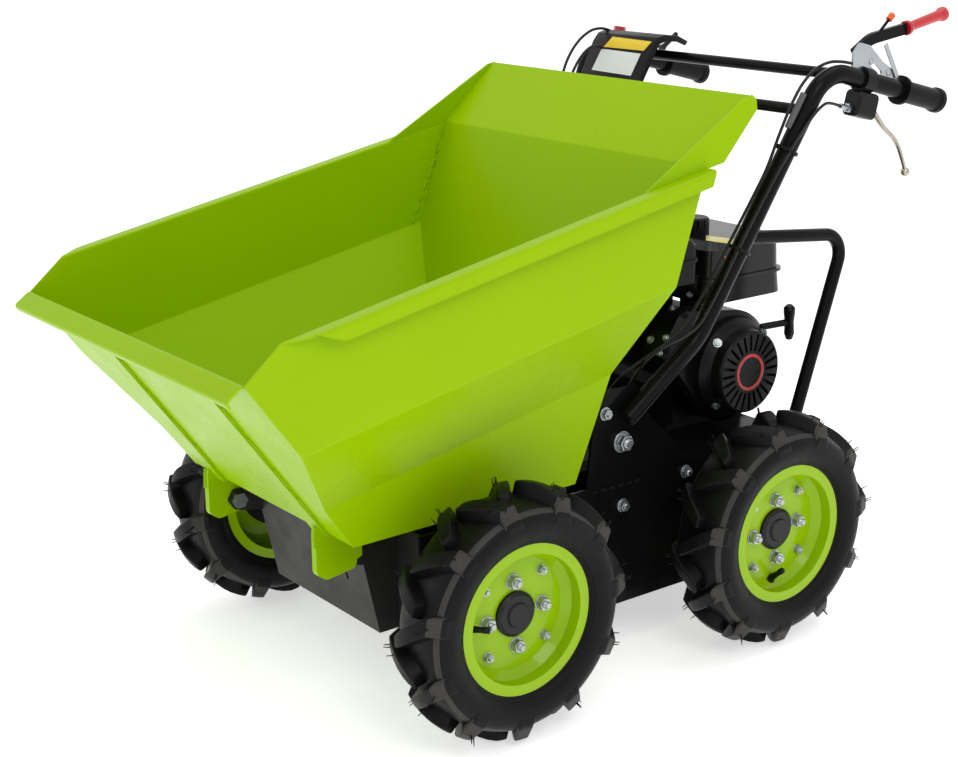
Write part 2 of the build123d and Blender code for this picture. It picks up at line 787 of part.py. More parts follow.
# Engine: starter handle, a turned grip on the stem of its rope
stem_radius = 6.0
grip_half = 32.0
stem_start = Vector(recoil_foot_x + 8, crank_y + 62, crank_z + 62)
grip_centre = Vector(recoil_foot_x + 30, crank_y + 108, crank_z + 68)
pull_dir = (grip_centre - stem_start).normalized()
grip_axis_dir = Vector(-0.05, 0.42, -1).normalized()
grip_plane = Plane(origin=grip_centre, x_dir=pull_dir, z_dir=pull_dir.cross(grip_axis_dir))
with BuildPart() as starter_handle:
    with BuildSketch(Plane(origin=stem_start, z_dir=pull_dir)):
        Circle(stem_radius)
    extrude(amount=(grip_centre - stem_start).length)
    add(recoil_cover.part, mode=Mode.SUBTRACT)
    with BuildSketch(grip_plane):
        with BuildLine():
            Polyline(
                (0, -grip_half),
                (6, -grip_half),
                (10, -grip_half + 5),
                (10, -grip_half + 14),
                (8, 0),
                (9, grip_half - 10),
                (6, grip_half),
                (0, grip_half),
                close=True,
            )
        make_face()
    revolve(axis=Axis(grip_centre, grip_plane.y_dir))
save(starter_handle, "starter_handle")

# Engine: fuel tank of two pressed shells, its bracket and its cap
tank_x = 5.0
tank_y = crank_y + 48.0
tank_width = 200.0
tank_length = 180.0
tank_corner = 30.0
tank_bottom_z = crank_z + 112.0
tank_seam_z = tank_bottom_z + 40.0
tank_top_z = crank_z + 215.0
seam_flange = 5.0
seam_wall = 5.0
with BuildPart() as fuel_tank:
    with BuildSketch(Plane.XY.offset(tank_seam_z)):
        with Locations((tank_x, tank_y)):
            RectangleRounded(tank_width, tank_length, tank_corner)
    extrude(amount=tank_bottom_z - tank_seam_z, taper=-6)
    with BuildSketch(Plane.XY.offset(tank_seam_z)):
        with Locations((tank_x, tank_y)):
            RectangleRounded(tank_width, tank_length, tank_corner)
    extrude(amount=tank_top_z - tank_seam_z, taper=3)
    chamfer(fuel_tank.faces().sort_by(Axis.Z)[-1].edges(), 13)
    with BuildSketch(Plane.XY.offset(tank_seam_z - seam_wall / 2)):
        with Locations((tank_x, tank_y)):
            RectangleRounded(tank_width + 2 * seam_flange, tank_length + 2 * seam_flange, tank_corner)
    extrude(amount=seam_wall)
save(fuel_tank, "fuel_tank")

bracket_top = 90.0
bracket_deep = 60.0
case_top_z = crank_z + 70.0
with BuildPart() as tank_mount:
    with BuildSketch(Plane.XZ.offset(-crank_y - 40)):
        with BuildLine():
            Polyline(
                (-bracket_top / 2 - 30, case_top_z),
                (-bracket_top / 2 - 30, tank_bottom_z),
                (bracket_top / 2 - 30, tank_bottom_z),
                (bracket_top / 2 - 30, case_top_z),
            )
            offset(amount=plate, side=Side.RIGHT, kind=Kind.INTERSECTION)
        make_face()
    extrude(amount=bracket_deep)
save(tank_mount, "tank_mount")

cap_radius = 26.0
cap_height = 26.0
with BuildPart() as fuel_cap:
    with BuildSketch(Plane.XY.offset(tank_top_z)):
        with Locations((0, crank_y + 20)):
            Circle(cap_radius)
    extrude(amount=cap_height)
    chamfer(fuel_cap.faces().sort_by(Axis.Z)[-1].edges(), 3)
    with BuildSketch(Plane.XY.offset(tank_top_z + cap_height / 3)):
        with Locations((0, crank_y + 20)):
            with PolarLocations(cap_radius + 2, 12):
                RegularPolygon(4, 4)
    extrude(amount=cap_height, mode=Mode.SUBTRACT)
save(fuel_cap, "fuel_cap")

# Engine: carburettor with its float bowl under the air filter, both over the intake port
filter_bottom_z = port_top_z + 24.0
filter_height = 72.0
with BuildPart() as carburettor:
    with BuildSketch(Plane.XY.offset(port_top_z)):
        with Locations((intake_x, port_y)):
            Rectangle(port_size, port_size)
        with Locations((intake_x + 32, port_y)):
            Rectangle(40, port_size - 6)
    extrude(amount=filter_bottom_z - port_top_z)
    with BuildSketch(Plane.XY.offset(port_top_z)):
        with Locations((intake_x + 40, port_y)):
            Circle(14)
    extrude(amount=-18)
save(carburettor, "carburettor")

with BuildPart() as air_filter:
    with BuildSketch(Plane.XY.offset(filter_bottom_z)):
        with Locations((intake_x + 25, crank_y - 125)):
            RectangleRounded(110, 130, 20)
    extrude(amount=filter_height)
    chamfer(air_filter.faces().sort_by(Axis.Z)[-1].edges(), 9)
    with BuildSketch(Plane.XY.offset(filter_bottom_z + filter_height / 2)):
        with Locations((intake_x + 25, crank_y - 125)):
            RectangleRounded(116, 136, 23)
    extrude(amount=seam_wall)
save(air_filter, "air_filter")

# Engine: muffler over the exhaust port
muffler_seam = 4.0
with BuildPart() as muffler:
    with BuildSketch(Plane.XY.offset(port_top_z)):
        with Locations((exhaust_x, port_y)):
            Circle(port_size / 2)
    extrude(amount=filter_bottom_z - port_top_z)
    with BuildSketch(Plane.XY.offset(filter_bottom_z)):
        with Locations((exhaust_x - 12, port_y - 5)):
            RectangleRounded(88, 126, 24)
    extrude(amount=filter_height)
    chamfer(muffler.faces().sort_by(Axis.Z)[-1].edges(), 8)
    with BuildSketch(Plane.XY.offset(filter_bottom_z + filter_height / 2)):
        with Locations((exhaust_x - 12, port_y - 5)):
            RectangleRounded(88 + 2 * muffler_seam, 126 + 2 * muffler_seam, 26)
    extrude(amount=muffler_seam)
save(muffler, "muffler")

# Handlebar tubes, one each side, outboard of the chassis at their feet
foot_x = chassis_half_width + plate + tube_radius + running_gap
handle_foot = (foot_x, front_axle_y + 318, 392)
handle_knee = (foot_x, front_axle_y + 466, 498)
handle_corner = (handle_half, front_axle_y + 671, 913)
handle_end = (handle_half, front_axle_y + 951, 842)
knee_radius = 90.0
corner_radius = 60.0
with BuildPart() as handlebar_tubes:
    with BuildLine() as left_tube:
        FilletPolyline(
            handle_foot, handle_knee, handle_corner, handle_end, radius=[knee_radius, corner_radius]
        )
    with BuildSketch(Plane(origin=left_tube.line @ 0, z_dir=left_tube.line % 0)):
        Circle(tube_radius)
    sweep()
    mirror(about=Plane.YZ)
save(handlebar_tubes, "handlebar_tubes")

# Rubber grips on the tube ends, each with a collar and a swollen end
grip_dir = left_tube.line % 1
grip_end_point = left_tube.line @ 1
grip_root = Plane(
    origin=grip_end_point - grip_dir * grip_length, x_dir=grip_dir, z_dir=(1, 0, 0)
)
grip_cap = 3.0
collar_radius = grip_radius + 5.0
collar_wall = 6.0
grip_swell = 2.0
with BuildPart() as hand_grips:
    with BuildSketch(grip_root):
        with BuildLine():
            Polyline(
                (0, tube_radius),
                (0, collar_radius),
                (collar_wall, collar_radius),
                (collar_wall + 4, grip_radius - 1),
                (grip_length - 14, grip_radius - 1),
                (grip_length - 8, grip_radius + grip_swell),
                (grip_length + grip_cap - 3, grip_radius + grip_swell),
                (grip_length + grip_cap, grip_radius - 2),
                (grip_length + grip_cap, 0),
                (grip_length, 0),
                (grip_length, tube_radius),
                close=True,
            )
        make_face()
    revolve(axis=Axis(grip_end_point, grip_dir))
    mirror(about=Plane.YZ)
save(hand_grips, "hand_grips")

# Crossbars between the tubes, cut to the tubes' surface
upper_bar_y = front_axle_y + 722.0
upper_bar_z = 900.0
lower_bar_y = front_axle_y + 638.0
lower_bar_z = 850.0
bar_half = handle_half - tube_radius / 3
with BuildPart() as handlebar_crossbars:
    for y, z in ((upper_bar_y, upper_bar_z), (lower_bar_y, lower_bar_z)):
        with BuildSketch(Plane(origin=(-bar_half, y, z), z_dir=(1, 0, 0))):
            Circle(crossbar_radius)
        extrude(amount=2 * bar_half)
    add(handlebar_tubes.part, mode=Mode.SUBTRACT)
save(handlebar_crossbars, "handlebar_crossbars")

# Guard tubes at each side of the engine, from the handlebar to the side plates
guard_x = chassis_half_width + plate + guard_radius + running_gap
guard_foot_z = 230.0
guard_bend = 38.0
guard_start = (guard_x, front_axle_y + 560, 648)
guard_corner = (guard_x, front_axle_y + 812, 622)
guard_knee = (guard_x, front_axle_y + 700, 300)
guard_foot = (guard_x, front_axle_y + 676, guard_foot_z)
with BuildPart() as engine_guards:
    with BuildLine() as guard_line:
        Line(guard_knee, guard_foot)
        FilletPolyline(guard_start, guard_corner, guard_knee, radius=guard_bend)
    with BuildSketch(Plane(origin=guard_line.line @ 0, z_dir=guard_line.line % 0)):
        Circle(guard_radius)
    sweep()
    add(handlebar_tubes.part, mode=Mode.SUBTRACT)
    mirror(about=Plane.YZ)
save(engine_guards, "engine_guards")

# Control console over the right tube's bend, an arched cover with turned-in sides
bar_run = Vector(0, handle_corner[1] - handle_knee[1], handle_corner[2] - handle_knee[2]).normalized()
seat = tube_radius + running_gap
console_width = 92.0
console_inboard = 18.0  # the cover's middle lies inboard of the tube
console_x = console_inboard - handle_half
console_wall = 3.0
console_side = 3.5  # turned-in edge, short enough to pass the lower crossbar
console_bend = 30.0
console_fall = 0.19
front_seat = Vector(0, handle_corner[1], handle_corner[2]) + Vector(0, -bar_run.Z, bar_run.Y) * seat
console_corner = front_seat + bar_run * 14
console_foot = console_corner - bar_run * 104
console_tail = console_corner + Vector(0, 130, -130 * console_fall)
console_line = [(point.Y, point.Z) for point in (console_foot, console_corner, console_tail)]
with BuildPart() as control_console:
    with BuildSketch(Plane.YZ.offset(console_x - console_width / 2)):
        with BuildLine():
            FilletPolyline(*console_line, radius=console_bend)
            offset(amount=console_wall, side=Side.LEFT)
        make_face()
    extrude(amount=console_width)
    with BuildSketch(Plane.YZ.offset(console_x - console_width / 2)):
        with BuildLine():
            FilletPolyline(*console_line, radius=console_bend)
            offset(amount=console_side, side=Side.RIGHT)
        make_face()
    side_edge = extrude(amount=console_wall)
    mirror(side_edge, about=Plane.YZ.offset(console_x))
save(control_console, "control_console")

# Engine switch: a mushroom button on a tapered base
switch_plane = Plane(
    origin=console_corner
    + Vector(console_x, 55, -55 * console_fall)
    + Vector(0, console_fall, 1).normalized() * console_wall,
    x_dir=(1, 0, 0),
    z_dir=(0, console_fall, 1),
)
switch_base = 9.0
with BuildPart() as engine_switch:
    with BuildSketch(switch_plane):
        RectangleRounded(38, 34, 5)
    extrude(amount=switch_base, taper=22)
    with BuildSketch(switch_plane.offset(switch_base)):
        RegularPolygon(11, 8)
    extrude(amount=9)
save(engine_switch, "engine_switch")

# Tipping lever bracket: a plate standing on the left tube, with a pivot boss
bracket_wall = 4.0
bracket_x = handle_half - bracket_wall / 2
bracket_front_y = front_axle_y + 733.0
bracket_rear_y = front_axle_y + 846.0
lever_play = 1.5
lever_thickness = 8.0
lever_x = bracket_x - lever_play - lever_thickness / 2
lever_pivot = Vector(lever_x, front_axle_y + 754, 938)
with BuildPart() as tipping_lever_bracket:
    with BuildSketch(Plane.YZ.offset(bracket_x)):
        with BuildLine():
            Polyline(
                (bracket_front_y, 892),
                (bracket_rear_y, 864),
                (bracket_rear_y, 893),
                (front_axle_y + 806, 916),
                (front_axle_y + 772, 944),
                (front_axle_y + 748, 950),
                (bracket_front_y, 934),
                close=True,
            )
        plate_face = make_face()
        fillet(plate_face.vertices().group_by(Axis.Y)[-1], 8)
        with Locations((front_axle_y + 790, 906)):
            SlotOverall(34, 9, rotation=-40, mode=Mode.SUBTRACT)
    extrude(amount=bracket_wall)
    with BuildSketch(Plane.YZ.offset(lever_x + lever_thickness / 2)):
        with Locations((lever_pivot.Y, lever_pivot.Z)):
            Circle(6)
    extrude(amount=lever_play)
    add(handlebar_tubes.part, mode=Mode.SUBTRACT)
save(tipping_lever_bracket, "tipping_lever_bracket")

# Tipping lever: a curved flat bar, with the thin rod of its latch
lever_height = 18.0
lever_points = [
    (lever_x, front_axle_y + 744, 931),
    (lever_x, front_axle_y + 782, 953),
    (lever_x, front_axle_y + 868, 965),
]
latch_radius = 2.5
latch_start = Vector(lever_x, front_axle_y + 803, 962)
latch_end = Vector(lever_x, front_axle_y + 825, 981)
with BuildPart() as tipping_lever:
    with BuildLine() as lever_line:
        FilletPolyline(*lever_points, radius=60)
    with BuildSketch(Plane(origin=lever_line.line @ 0, x_dir=(1, 0, 0), z_dir=lever_line.line % 0)):
        Rectangle(lever_thickness, lever_height)
    sweep()
    with BuildSketch(Plane(origin=latch_start, z_dir=latch_end - latch_start)):
        Circle(latch_radius)
    extrude(amount=(latch_end - latch_start).length)
save(tipping_lever, "tipping_lever")

with BuildPart() as latch_knob:
    with BuildSketch(Plane(origin=latch_end, z_dir=latch_end - latch_start)):
        Circle(5.5)
    extrude(amount=14)
    chamfer(latch_knob.edges().group_by(Axis((0, 0, 0), latch_end - latch_start))[-1], 3)
save(latch_knob, "latch_knob")

# Red grip, flared at both ends, reaching the machine's rearmost point
grip_reach = rear_axle_y + control_reach
red_radius = 8.0
red_flare = 12.0
red_start = lever_line.line @ 1
red_rise = 0.2
red_dir = Vector(0, 1, red_rise).normalized()
red_length = (grip_reach - red_start.Y - red_flare * red_dir.Z) / red_dir.Y
red_plane = Plane(origin=red_start, x_dir=red_dir, z_dir=(1, 0, 0))
with BuildPart() as tipping_lever_grip:
    with BuildSketch(red_plane):
        with BuildLine():
            Polyline(
                (0, 0),
                (0, red_flare),
                (6, red_flare),
                (14, red_radius),
                (red_length - 14, red_radius + 1),
                (red_length - 6, red_flare),
                (red_length, red_flare),
                (red_length, 0),
                close=True,
            )
        make_face()
    revolve(axis=Axis(red_start, red_dir))
    add(tipping_lever.part, mode=Mode.SUBTRACT)
save(tipping_lever_grip, "tipping_lever_grip")

# Clutch lever housing: a clamp ring round the left tube with a hanging body
hang_y = front_axle_y + 752.0
tube_fall = (handle_corner[2] - handle_end[2]) / (handle_end[1] - handle_corner[1])
tube_dir = Vector(0, 1, -tube_fall).normalized()
hang_origin = Vector(handle_half, hang_y, handle_corner[2] - (hang_y - handle_corner[1]) * tube_fall)
hang_plane = Plane(origin=hang_origin, x_dir=(1, 0, 0), z_dir=tube_dir)
housing_length = 46.0
housing_width = 34.0
housing_height = 42.0
clamp_wall = 5.0
clamp_length = 24.0
housing_lead = 8.0  # the body starts this far ahead of its clamp
with BuildPart() as clutch_lever_housing:
    with BuildSketch(hang_plane):
        Circle(seat + clamp_wall)
        Circle(seat, mode=Mode.SUBTRACT)
    extrude(amount=clamp_length)
    with BuildSketch(hang_plane.offset(-housing_lead)):
        with Locations((0, seat + clamp_wall / 2 + housing_height / 2)):
            RectangleRounded(housing_width, housing_height, 9)
    extrude(amount=housing_length)
    chamfer(clutch_lever_housing.faces().sort_by(Axis((0, 0, 0), tube_dir))[0].edges(), 4)
    add(tipping_lever_bracket.part, mode=Mode.SUBTRACT)
save(clutch_lever_housing, "clutch_lever_housing")

# Clutch lever: a curved flat blade with a ball end
blade_width = 14.0
blade_wall = 6.0
ball_radius = 8.0
with BuildPart() as clutch_lever:
    with BuildLine() as clutch_line:
        FilletPolyline(
            (handle_half, front_axle_y + 774, 855),
            (handle_half, front_axle_y + 818, 806),
            (handle_half, front_axle_y + 853, 785),
            (handle_half, front_axle_y + 873, 748),
            (handle_half, front_axle_y + 880, 728),
            radius=[14, 16, 40],
        )
    with BuildSketch(Plane(origin=clutch_line.line @ 0, x_dir=(1, 0, 0), z_dir=clutch_line.line % 0)):
        Rectangle(blade_width, blade_wall)
    sweep()
    with Locations(clutch_line.line @ 1):
        Sphere(ball_radius)
    add(clutch_lever_housing.part, mode=Mode.SUBTRACT)
save(clutch_lever, "clutch_lever")

# Cable adjuster, screwed into the front of the housing
adjuster_length = 24.0
adjuster_radius = 4.5
adjuster_nut_radius = 7.5
adjuster_drop = seat + clamp_wall / 2 + housing_height - 1.4 * adjuster_nut_radius
with BuildPart() as cable_adjuster:
    with BuildSketch(hang_plane.offset(-housing_lead)):
        with Locations((0, adjuster_drop)):
            Circle(adjuster_radius)
    extrude(amount=-adjuster_length)
    with BuildSketch(hang_plane.offset(-housing_lead)):
        with Locations((0, adjuster_drop)):
            RegularPolygon(adjuster_nut_radius, 6)
    extrude(amount=-adjuster_nut_radius)
save(cable_adjuster, "cable_adjuster")

# Drive belt cover at the engine's right side, round at the pulleys
belt_bottom_z = chassis_bottom_z + 60.0
with BuildPart() as drive_belt_cover:
    with BuildSketch(Plane.YZ.offset(belt_outer_x)):
        with BuildLine():
            Polyline(
                (crank_y - 20, crank_z + 85),
                (belt_rear_y, crank_z + 60),
                (belt_rear_y, crank_z - 50),
                (crank_y - 120, belt_bottom_z),
                (belt_front_y, belt_bottom_z),
                (belt_front_y, belt_bottom_z + 100),
                close=True,
            )
        cover_face = make_face()
        fillet(cover_face.vertices(), 30)
    extrude(amount=belt_cover_width)
    chamfer(drive_belt_cover.faces().sort_by(Axis.X)[0].edges(), 5)
save(drive_belt_cover, "drive_belt_cover")

# Control cables: x, distance behind the front axle and height of the points of each route
cable_radius = 2.5
cable_foot_z = chassis_bottom_z + plate + gearbox_height + cable_radius
adjuster_end = hang_plane.from_local_coords((0, adjuster_drop, -housing_lead - adjuster_length - 1))
clutch_cable = [
    (adjuster_end.X, adjuster_end.Y - front_axle_y, adjuster_end.Z),
    (281, 690, 858),
    (286, 668, 861),
    (291, 641, 850),
    (286, 613, 817),
    (272, 583, 763),
    (260, 547, 694),
    (253, 511, 631),
    (245, 480, 570),
    (238, 452, 523),
    (229, 425, 505),
    (217, 396, 494),
    (202, 374, 474),
    (183, 365, 442),
    (160, 365, 405),
    (133, 369, 366),
    (107, 375, 329),
    (83, 383, 298),
    (66, 389, cable_foot_z),
]
tipping_cable = [
    (handle_half, bracket_front_y - front_axle_y - 1, 918),
    (280, 711, 922),
    (277, 684, 924),
    (272, 656, 915),
    (268, 631, 892),
    (265, 610, 858),
    (261, 591, 814),
    (256, 573, 763),
    (245, 538, 695),
    (234, 506, 634),
    (225, 473, 571),
    (217, 442, 523),
    (208, 412, 497),
    (196, 381, 477),
    (180, 352, 454),
    (160, 334, 422),
    (135, 329, 385),
    (107, 334, 343),
    (77, 344, 305),
    (50, 349, cable_foot_z),
]
switch_cable = [
    (-255, 703, 933),
    (-252, 684, 940),
    (-248, 664, 944),
    (-244, 640, 943),
    (-241, 615, 933),
    (-240, 594, 916),
    (-239, 576, 892),
    (-241, 563, 855),
    (-246, 564, 810),
    (-252, 567, 762),
    (-251, 537, 700),
    (-246, 506, 636),
    (-239, 474, 571),
    (-232, 446, 523),
    (-224, 418, 500),
    (-213, 390, 483),
    (-198, 366, 461),
    (-177, 350, 430),
    (-152, 344, 391),
    (-119, 345, 347),
    (-77, 344, 305),
    (-50, 349, cable_foot_z),
]
throttle_cable = [
    (-226, 648.4, 911),
    (-225, 638, 915),
    (-225, 622, 916),
    (-225, 606, 907),
    (-226, 590, 890),
    (-228, 577, 866),
    (-230, 569, 835),
    (-234, 569, 795),
    (-238, 566, 747),
    (-233, 538, 695),
    (-224, 506, 634),
    (-215, 474, 571),
    (-208, 444, 523),
    (-200, 415, 496),
    (-189, 390, 474),
    (-173, 374, 446),
    (-152, 370, 410),
    (-127, 372, 369),
    (-103, 377, 330),
    (-81, 384, 300),
    (-66, 389, cable_foot_z),
]


def bend_radii(points):
    """Largest arc that the runs beside each point of a cable allow."""
    radii = []
    for before, here, after in zip(points, points[1:], points[2:]):
        run_in = here - before
        run_out = after - here
        half_turn = radians(run_in.get_angle(run_out) / 2)
        radii.append(0.45 * min(run_in.length, run_out.length) / tan(half_turn))
    return radii


with BuildPart() as control_cables:
    for route in (clutch_cable, tipping_cable, switch_cable, throttle_cable):
        points = [Vector(x, front_axle_y + y, z) for x, y, z in route]
        radii = bend_radii(points)
        with BuildLine() as cable_line:
            FilletPolyline(*points, radius=radii)
        with BuildSketch(Plane(origin=cable_line.line @ 0, z_dir=cable_line.line % 0)):
            Circle(cable_radius)
        sweep()
        length = sum(edge.length for edge in cable_line.edges())
        print(f"cable length {length:.0f} mm, smallest radius {min(radii):.0f} mm")
save(control_cables, "control_cables")
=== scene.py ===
from math import atan2, cos, pi, radians, sin

import bpy
from mathutils import Matrix, Vector


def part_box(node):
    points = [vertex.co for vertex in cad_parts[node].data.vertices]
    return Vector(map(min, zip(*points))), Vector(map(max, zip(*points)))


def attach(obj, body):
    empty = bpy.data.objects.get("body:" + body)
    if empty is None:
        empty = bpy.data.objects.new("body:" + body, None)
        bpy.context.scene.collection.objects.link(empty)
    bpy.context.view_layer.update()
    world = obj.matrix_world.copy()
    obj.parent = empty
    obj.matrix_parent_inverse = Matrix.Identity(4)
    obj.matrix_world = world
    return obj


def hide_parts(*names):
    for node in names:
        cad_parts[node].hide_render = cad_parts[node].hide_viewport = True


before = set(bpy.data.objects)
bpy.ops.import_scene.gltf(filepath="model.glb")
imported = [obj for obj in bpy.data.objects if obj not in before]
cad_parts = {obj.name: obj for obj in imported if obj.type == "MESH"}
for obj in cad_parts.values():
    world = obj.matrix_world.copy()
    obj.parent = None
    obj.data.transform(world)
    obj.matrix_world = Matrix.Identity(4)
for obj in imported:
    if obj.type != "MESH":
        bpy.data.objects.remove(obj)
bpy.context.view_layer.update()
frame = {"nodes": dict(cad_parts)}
bpy.ops.object.select_all(action="DESELECT")

# Camera. A long lens from the machine's front left, a little above the skip.
# Its place and turn are those that the four wheels' ellipses and the skip's corners give.
picture_width, picture_height = 958, 757
camera_place = Vector((2.1104, -1.6639, 1.2016))
camera_azimuth = 52.171
camera_elevation = 16.228
camera_roll = -0.229
camera_data = bpy.data.cameras.new("camera")
camera_data.sensor_width = 36.0
camera_data.lens = 64.33
camera_data.shift_x = -0.0226
camera_data.shift_y = -0.0013
camera = bpy.data.objects.new("camera", camera_data)
camera.matrix_world = (
    Matrix.Translation(camera_place)
    @ Matrix.Rotation(radians(camera_azimuth), 4, "Z")
    @ Matrix.Rotation(radians(90 - camera_elevation), 4, "X")
    @ Matrix.Rotation(radians(camera_roll), 4, "Z")
)
bpy.context.scene.collection.objects.link(camera)
bpy.context.scene.camera = camera


# Studio: a plain pale floor that runs into the backdrop.
# It is matt, keeps the object's soft shadow, and shows white to the camera and in reflections.
def linear(text):
    """The linear colour of an sRGB hex value."""
    parts = [int(text[i : i + 2], 16) / 255 for i in (1, 3, 5)]
    return [c / 12.92 if c <= 0.04045 else ((c + 0.055) / 1.055) ** 2.4 for c in parts] + [1.0]


def node(material, kind, settings=None, **inputs):
    """Adds one node: settings are its own properties, inputs are values or output sockets."""
    made = material.node_tree.nodes.new(kind)
    for name, value in (settings or {}).items():
        setattr(made, name, value)
    for name, value in inputs.items():
        key = int(name[1:]) if name[0] == "i" and name[1:].isdigit() else name.replace("_", " ")
        if isinstance(value, bpy.types.NodeSocket):
            material.node_tree.links.new(value, made.inputs[key])
        else:
            made.inputs[key].default_value = value
    return made


def new_material(name):
    """An empty node material and its output node."""
    material = bpy.data.materials.new(name)
    material.use_nodes = True
    material.node_tree.nodes.clear()
    return material, material.node_tree.nodes.new("ShaderNodeOutputMaterial")


floor_colour = "#FBFBFA"
floor_size = 60.0
floor_glow = 0.55
ambient_strength = 0.66
bpy.ops.mesh.primitive_plane_add(size=floor_size)
floor = bpy.context.object
floor.name = "floor"
backdrop_paper, paper_out = new_material("backdrop_paper")
paper = node(
    backdrop_paper, "ShaderNodeBsdfPrincipled", Base_Color=linear(floor_colour), Roughness=0.95,
    Emission_Color=linear("#FFFFFF"), Emission_Strength=floor_glow,
)
backdrop_paper.node_tree.links.new(paper.outputs[0], paper_out.inputs["Surface"])
floor.data.materials.append(backdrop_paper)

world = bpy.data.worlds.new("studio")
world.use_nodes = True
bpy.context.scene.world = world
world.node_tree.nodes.clear()
rays = node(world, "ShaderNodeLightPath").outputs
seen = node(
    world, "ShaderNodeMath", {"operation": "MAXIMUM"}, i0=rays["Is Camera Ray"], i1=rays["Is Glossy Ray"]
)
seen_all = node(
    world, "ShaderNodeMath", {"operation": "MAXIMUM"}, i0=seen.outputs[0], i1=rays["Is Transmission Ray"]
)
ambient = node(world, "ShaderNodeBackground", Color=linear("#FFFFFF"), Strength=ambient_strength)
white = node(world, "ShaderNodeBackground", Color=linear("#FFFFFF"), Strength=1.0)
mixed = node(
    world, "ShaderNodeMixShader", Fac=seen_all.outputs[0], i1=ambient.outputs[0], i2=white.outputs[0]
)
node(world, "ShaderNodeOutputWorld", Surface=mixed.outputs[0])

lamp_target = Vector((0, 0, 0.45))
for lamp_name, place, size, power in (
    ("key_lamp", (2.8, -0.9, 2.9), 1.6, 26),
    ("top_lamp", (0.2, 0.6, 3.4), 2.4, 24),
    ("fill_lamp", (-1.6, -2.6, 1.9), 1.4, 10),
):
    lamp_data = bpy.data.lights.new(lamp_name, "AREA")
    lamp_data.size = size
    lamp_data.energy = power
    lamp = bpy.data.objects.new(lamp_name, lamp_data)
    lamp.location = place
    lamp.rotation_mode = "QUATERNION"
    lamp.rotation_quaternion = (lamp_target - Vector(place)).to_track_quat("-Z", "Y")
    bpy.context.scene.collection.objects.link(lamp)


# Skip: a hopper of bent steel sheet. Side panels, floor with pouring slope, rear wall, wings, straps
# and pivot ears are welded together and then baked with lime enamel.
def coating(
    name, colours, rough, drift_mm, grain_mm, grain_height_mm,
    metallic=0.0, coat=0.0, coat_rough=0.03, lines_mm=None, specular=0.5,
):
    """Two close colours that drift into each other, a patchy sheen and a grain of the real size."""
    material, out = new_material(name)
    place = node(material, "ShaderNodeTexCoord").outputs["Object"]
    drift = node(material, "ShaderNodeTexNoise", Vector=place, Scale=1000 / drift_mm, Detail=2.0)
    shade = node(
        material, "ShaderNodeMix", {"data_type": "RGBA"}, i0=drift.outputs["Fac"],
        i6=linear(colours[0]), i7=linear(colours[1]),
    )
    patches = node(material, "ShaderNodeTexNoise", Vector=place, Scale=4000 / drift_mm, Detail=4.0)
    sheen = node(
        material, "ShaderNodeMapRange", Value=patches.outputs["Fac"],
        i1=0.3, i2=0.7, i3=rough[0], i4=rough[1],
    )
    grain = node(material, "ShaderNodeTexNoise", Vector=place, Scale=1000 / grain_mm, Detail=3.0)
    height = grain.outputs["Fac"]
    if lines_mm:
        # A wave texture's bands stand pi / (10 * scale) metres apart.
        lines = node(
            material, "ShaderNodeTexWave", {"bands_direction": "X"}, Vector=place,
            Scale=1000 * pi / (10 * lines_mm), Distortion=0.0,
        )
        added = node(
            material, "ShaderNodeMath", {"operation": "ADD"}, i0=height, i1=lines.outputs["Fac"]
        )
        height = added.outputs[0]
    bump = node(
        material, "ShaderNodeBump", Height=height, Distance=grain_height_mm / 1000, Strength=1.0
    )
    shader = node(
        material, "ShaderNodeBsdfPrincipled", Base_Color=shade.outputs[2], Roughness=sheen.outputs[0],
        Metallic=metallic, Normal=bump.outputs[0], Coat_Weight=coat, Coat_Roughness=coat_rough,
        Specular_IOR_Level=specular,
    )
    material.node_tree.links.new(shader.outputs[0], out.inputs["Surface"])
    return material


def dress(material, *names):
    """Gives CAD nodes their finish."""
    for name in names:
        piece = frame["nodes"][name]
        piece.data.materials.clear()
        piece.data.materials.append(material)


# Lime enamel, baked on steel sheet: saturated, wet looking, with a faint orange peel of 2.4 mm.
lime_colours = ("#98C000", "#90B700")
lime_enamel = coating(
    "lime_enamel", lime_colours, rough=(0.24, 0.34), drift_mm=300, grain_mm=2.4, grain_height_mm=0.012,
    specular=0.08,
)
dress(
    lime_enamel, "skip_left_side", "skip_right_side", "skip_floor", "skip_rear_wall", "skip_wings",
    "skip_pivot_arms",
)

# Skip pivots and rests: zinc plated bolts carry the ears on the nose, and black rests take the
# skip's floor when it is down.
# Zinc plated steel: bluish silver with a soft patchy sheen.
zinc_steel = coating(
    "zinc_plated_steel", ("#B8BCC0", "#A2A6AA"), rough=(0.28, 0.42), drift_mm=25, grain_mm=0.6,
    grain_height_mm=0.006, metallic=1.0,
)
# Black powder coat: deep black with a fine even pebble that breaks up the highlights.
black_powder = coating(
    "black_powder_coat", ("#0B0B0C", "#121213"), rough=(0.16, 0.24), drift_mm=120, grain_mm=1.1,
    grain_height_mm=0.012, specular=0.08,
)
dress(zinc_steel, "skip_pivot_bolts")
dress(black_powder, "skip_rests")


# Skip welds. The straps are stitch welded to the slope along both edges, the ears have a full bead
# at their roots, and the rear seam inside has a bead of spots. All are painted over with the skip.
def touch(name, start, direction):
    """Where a ray first meets a piece, and the face's direction there."""
    piece = frame["nodes"][name]
    back = piece.matrix_world.inverted()
    hit, place, normal, _ = piece.ray_cast(back @ Vector(start), back.to_3x3() @ Vector(direction))
    if not hit:
        raise ValueError(f"ray missed {name} from {tuple(start)}")
    return piece.matrix_world @ place, (piece.matrix_world.to_3x3() @ normal).normalized()


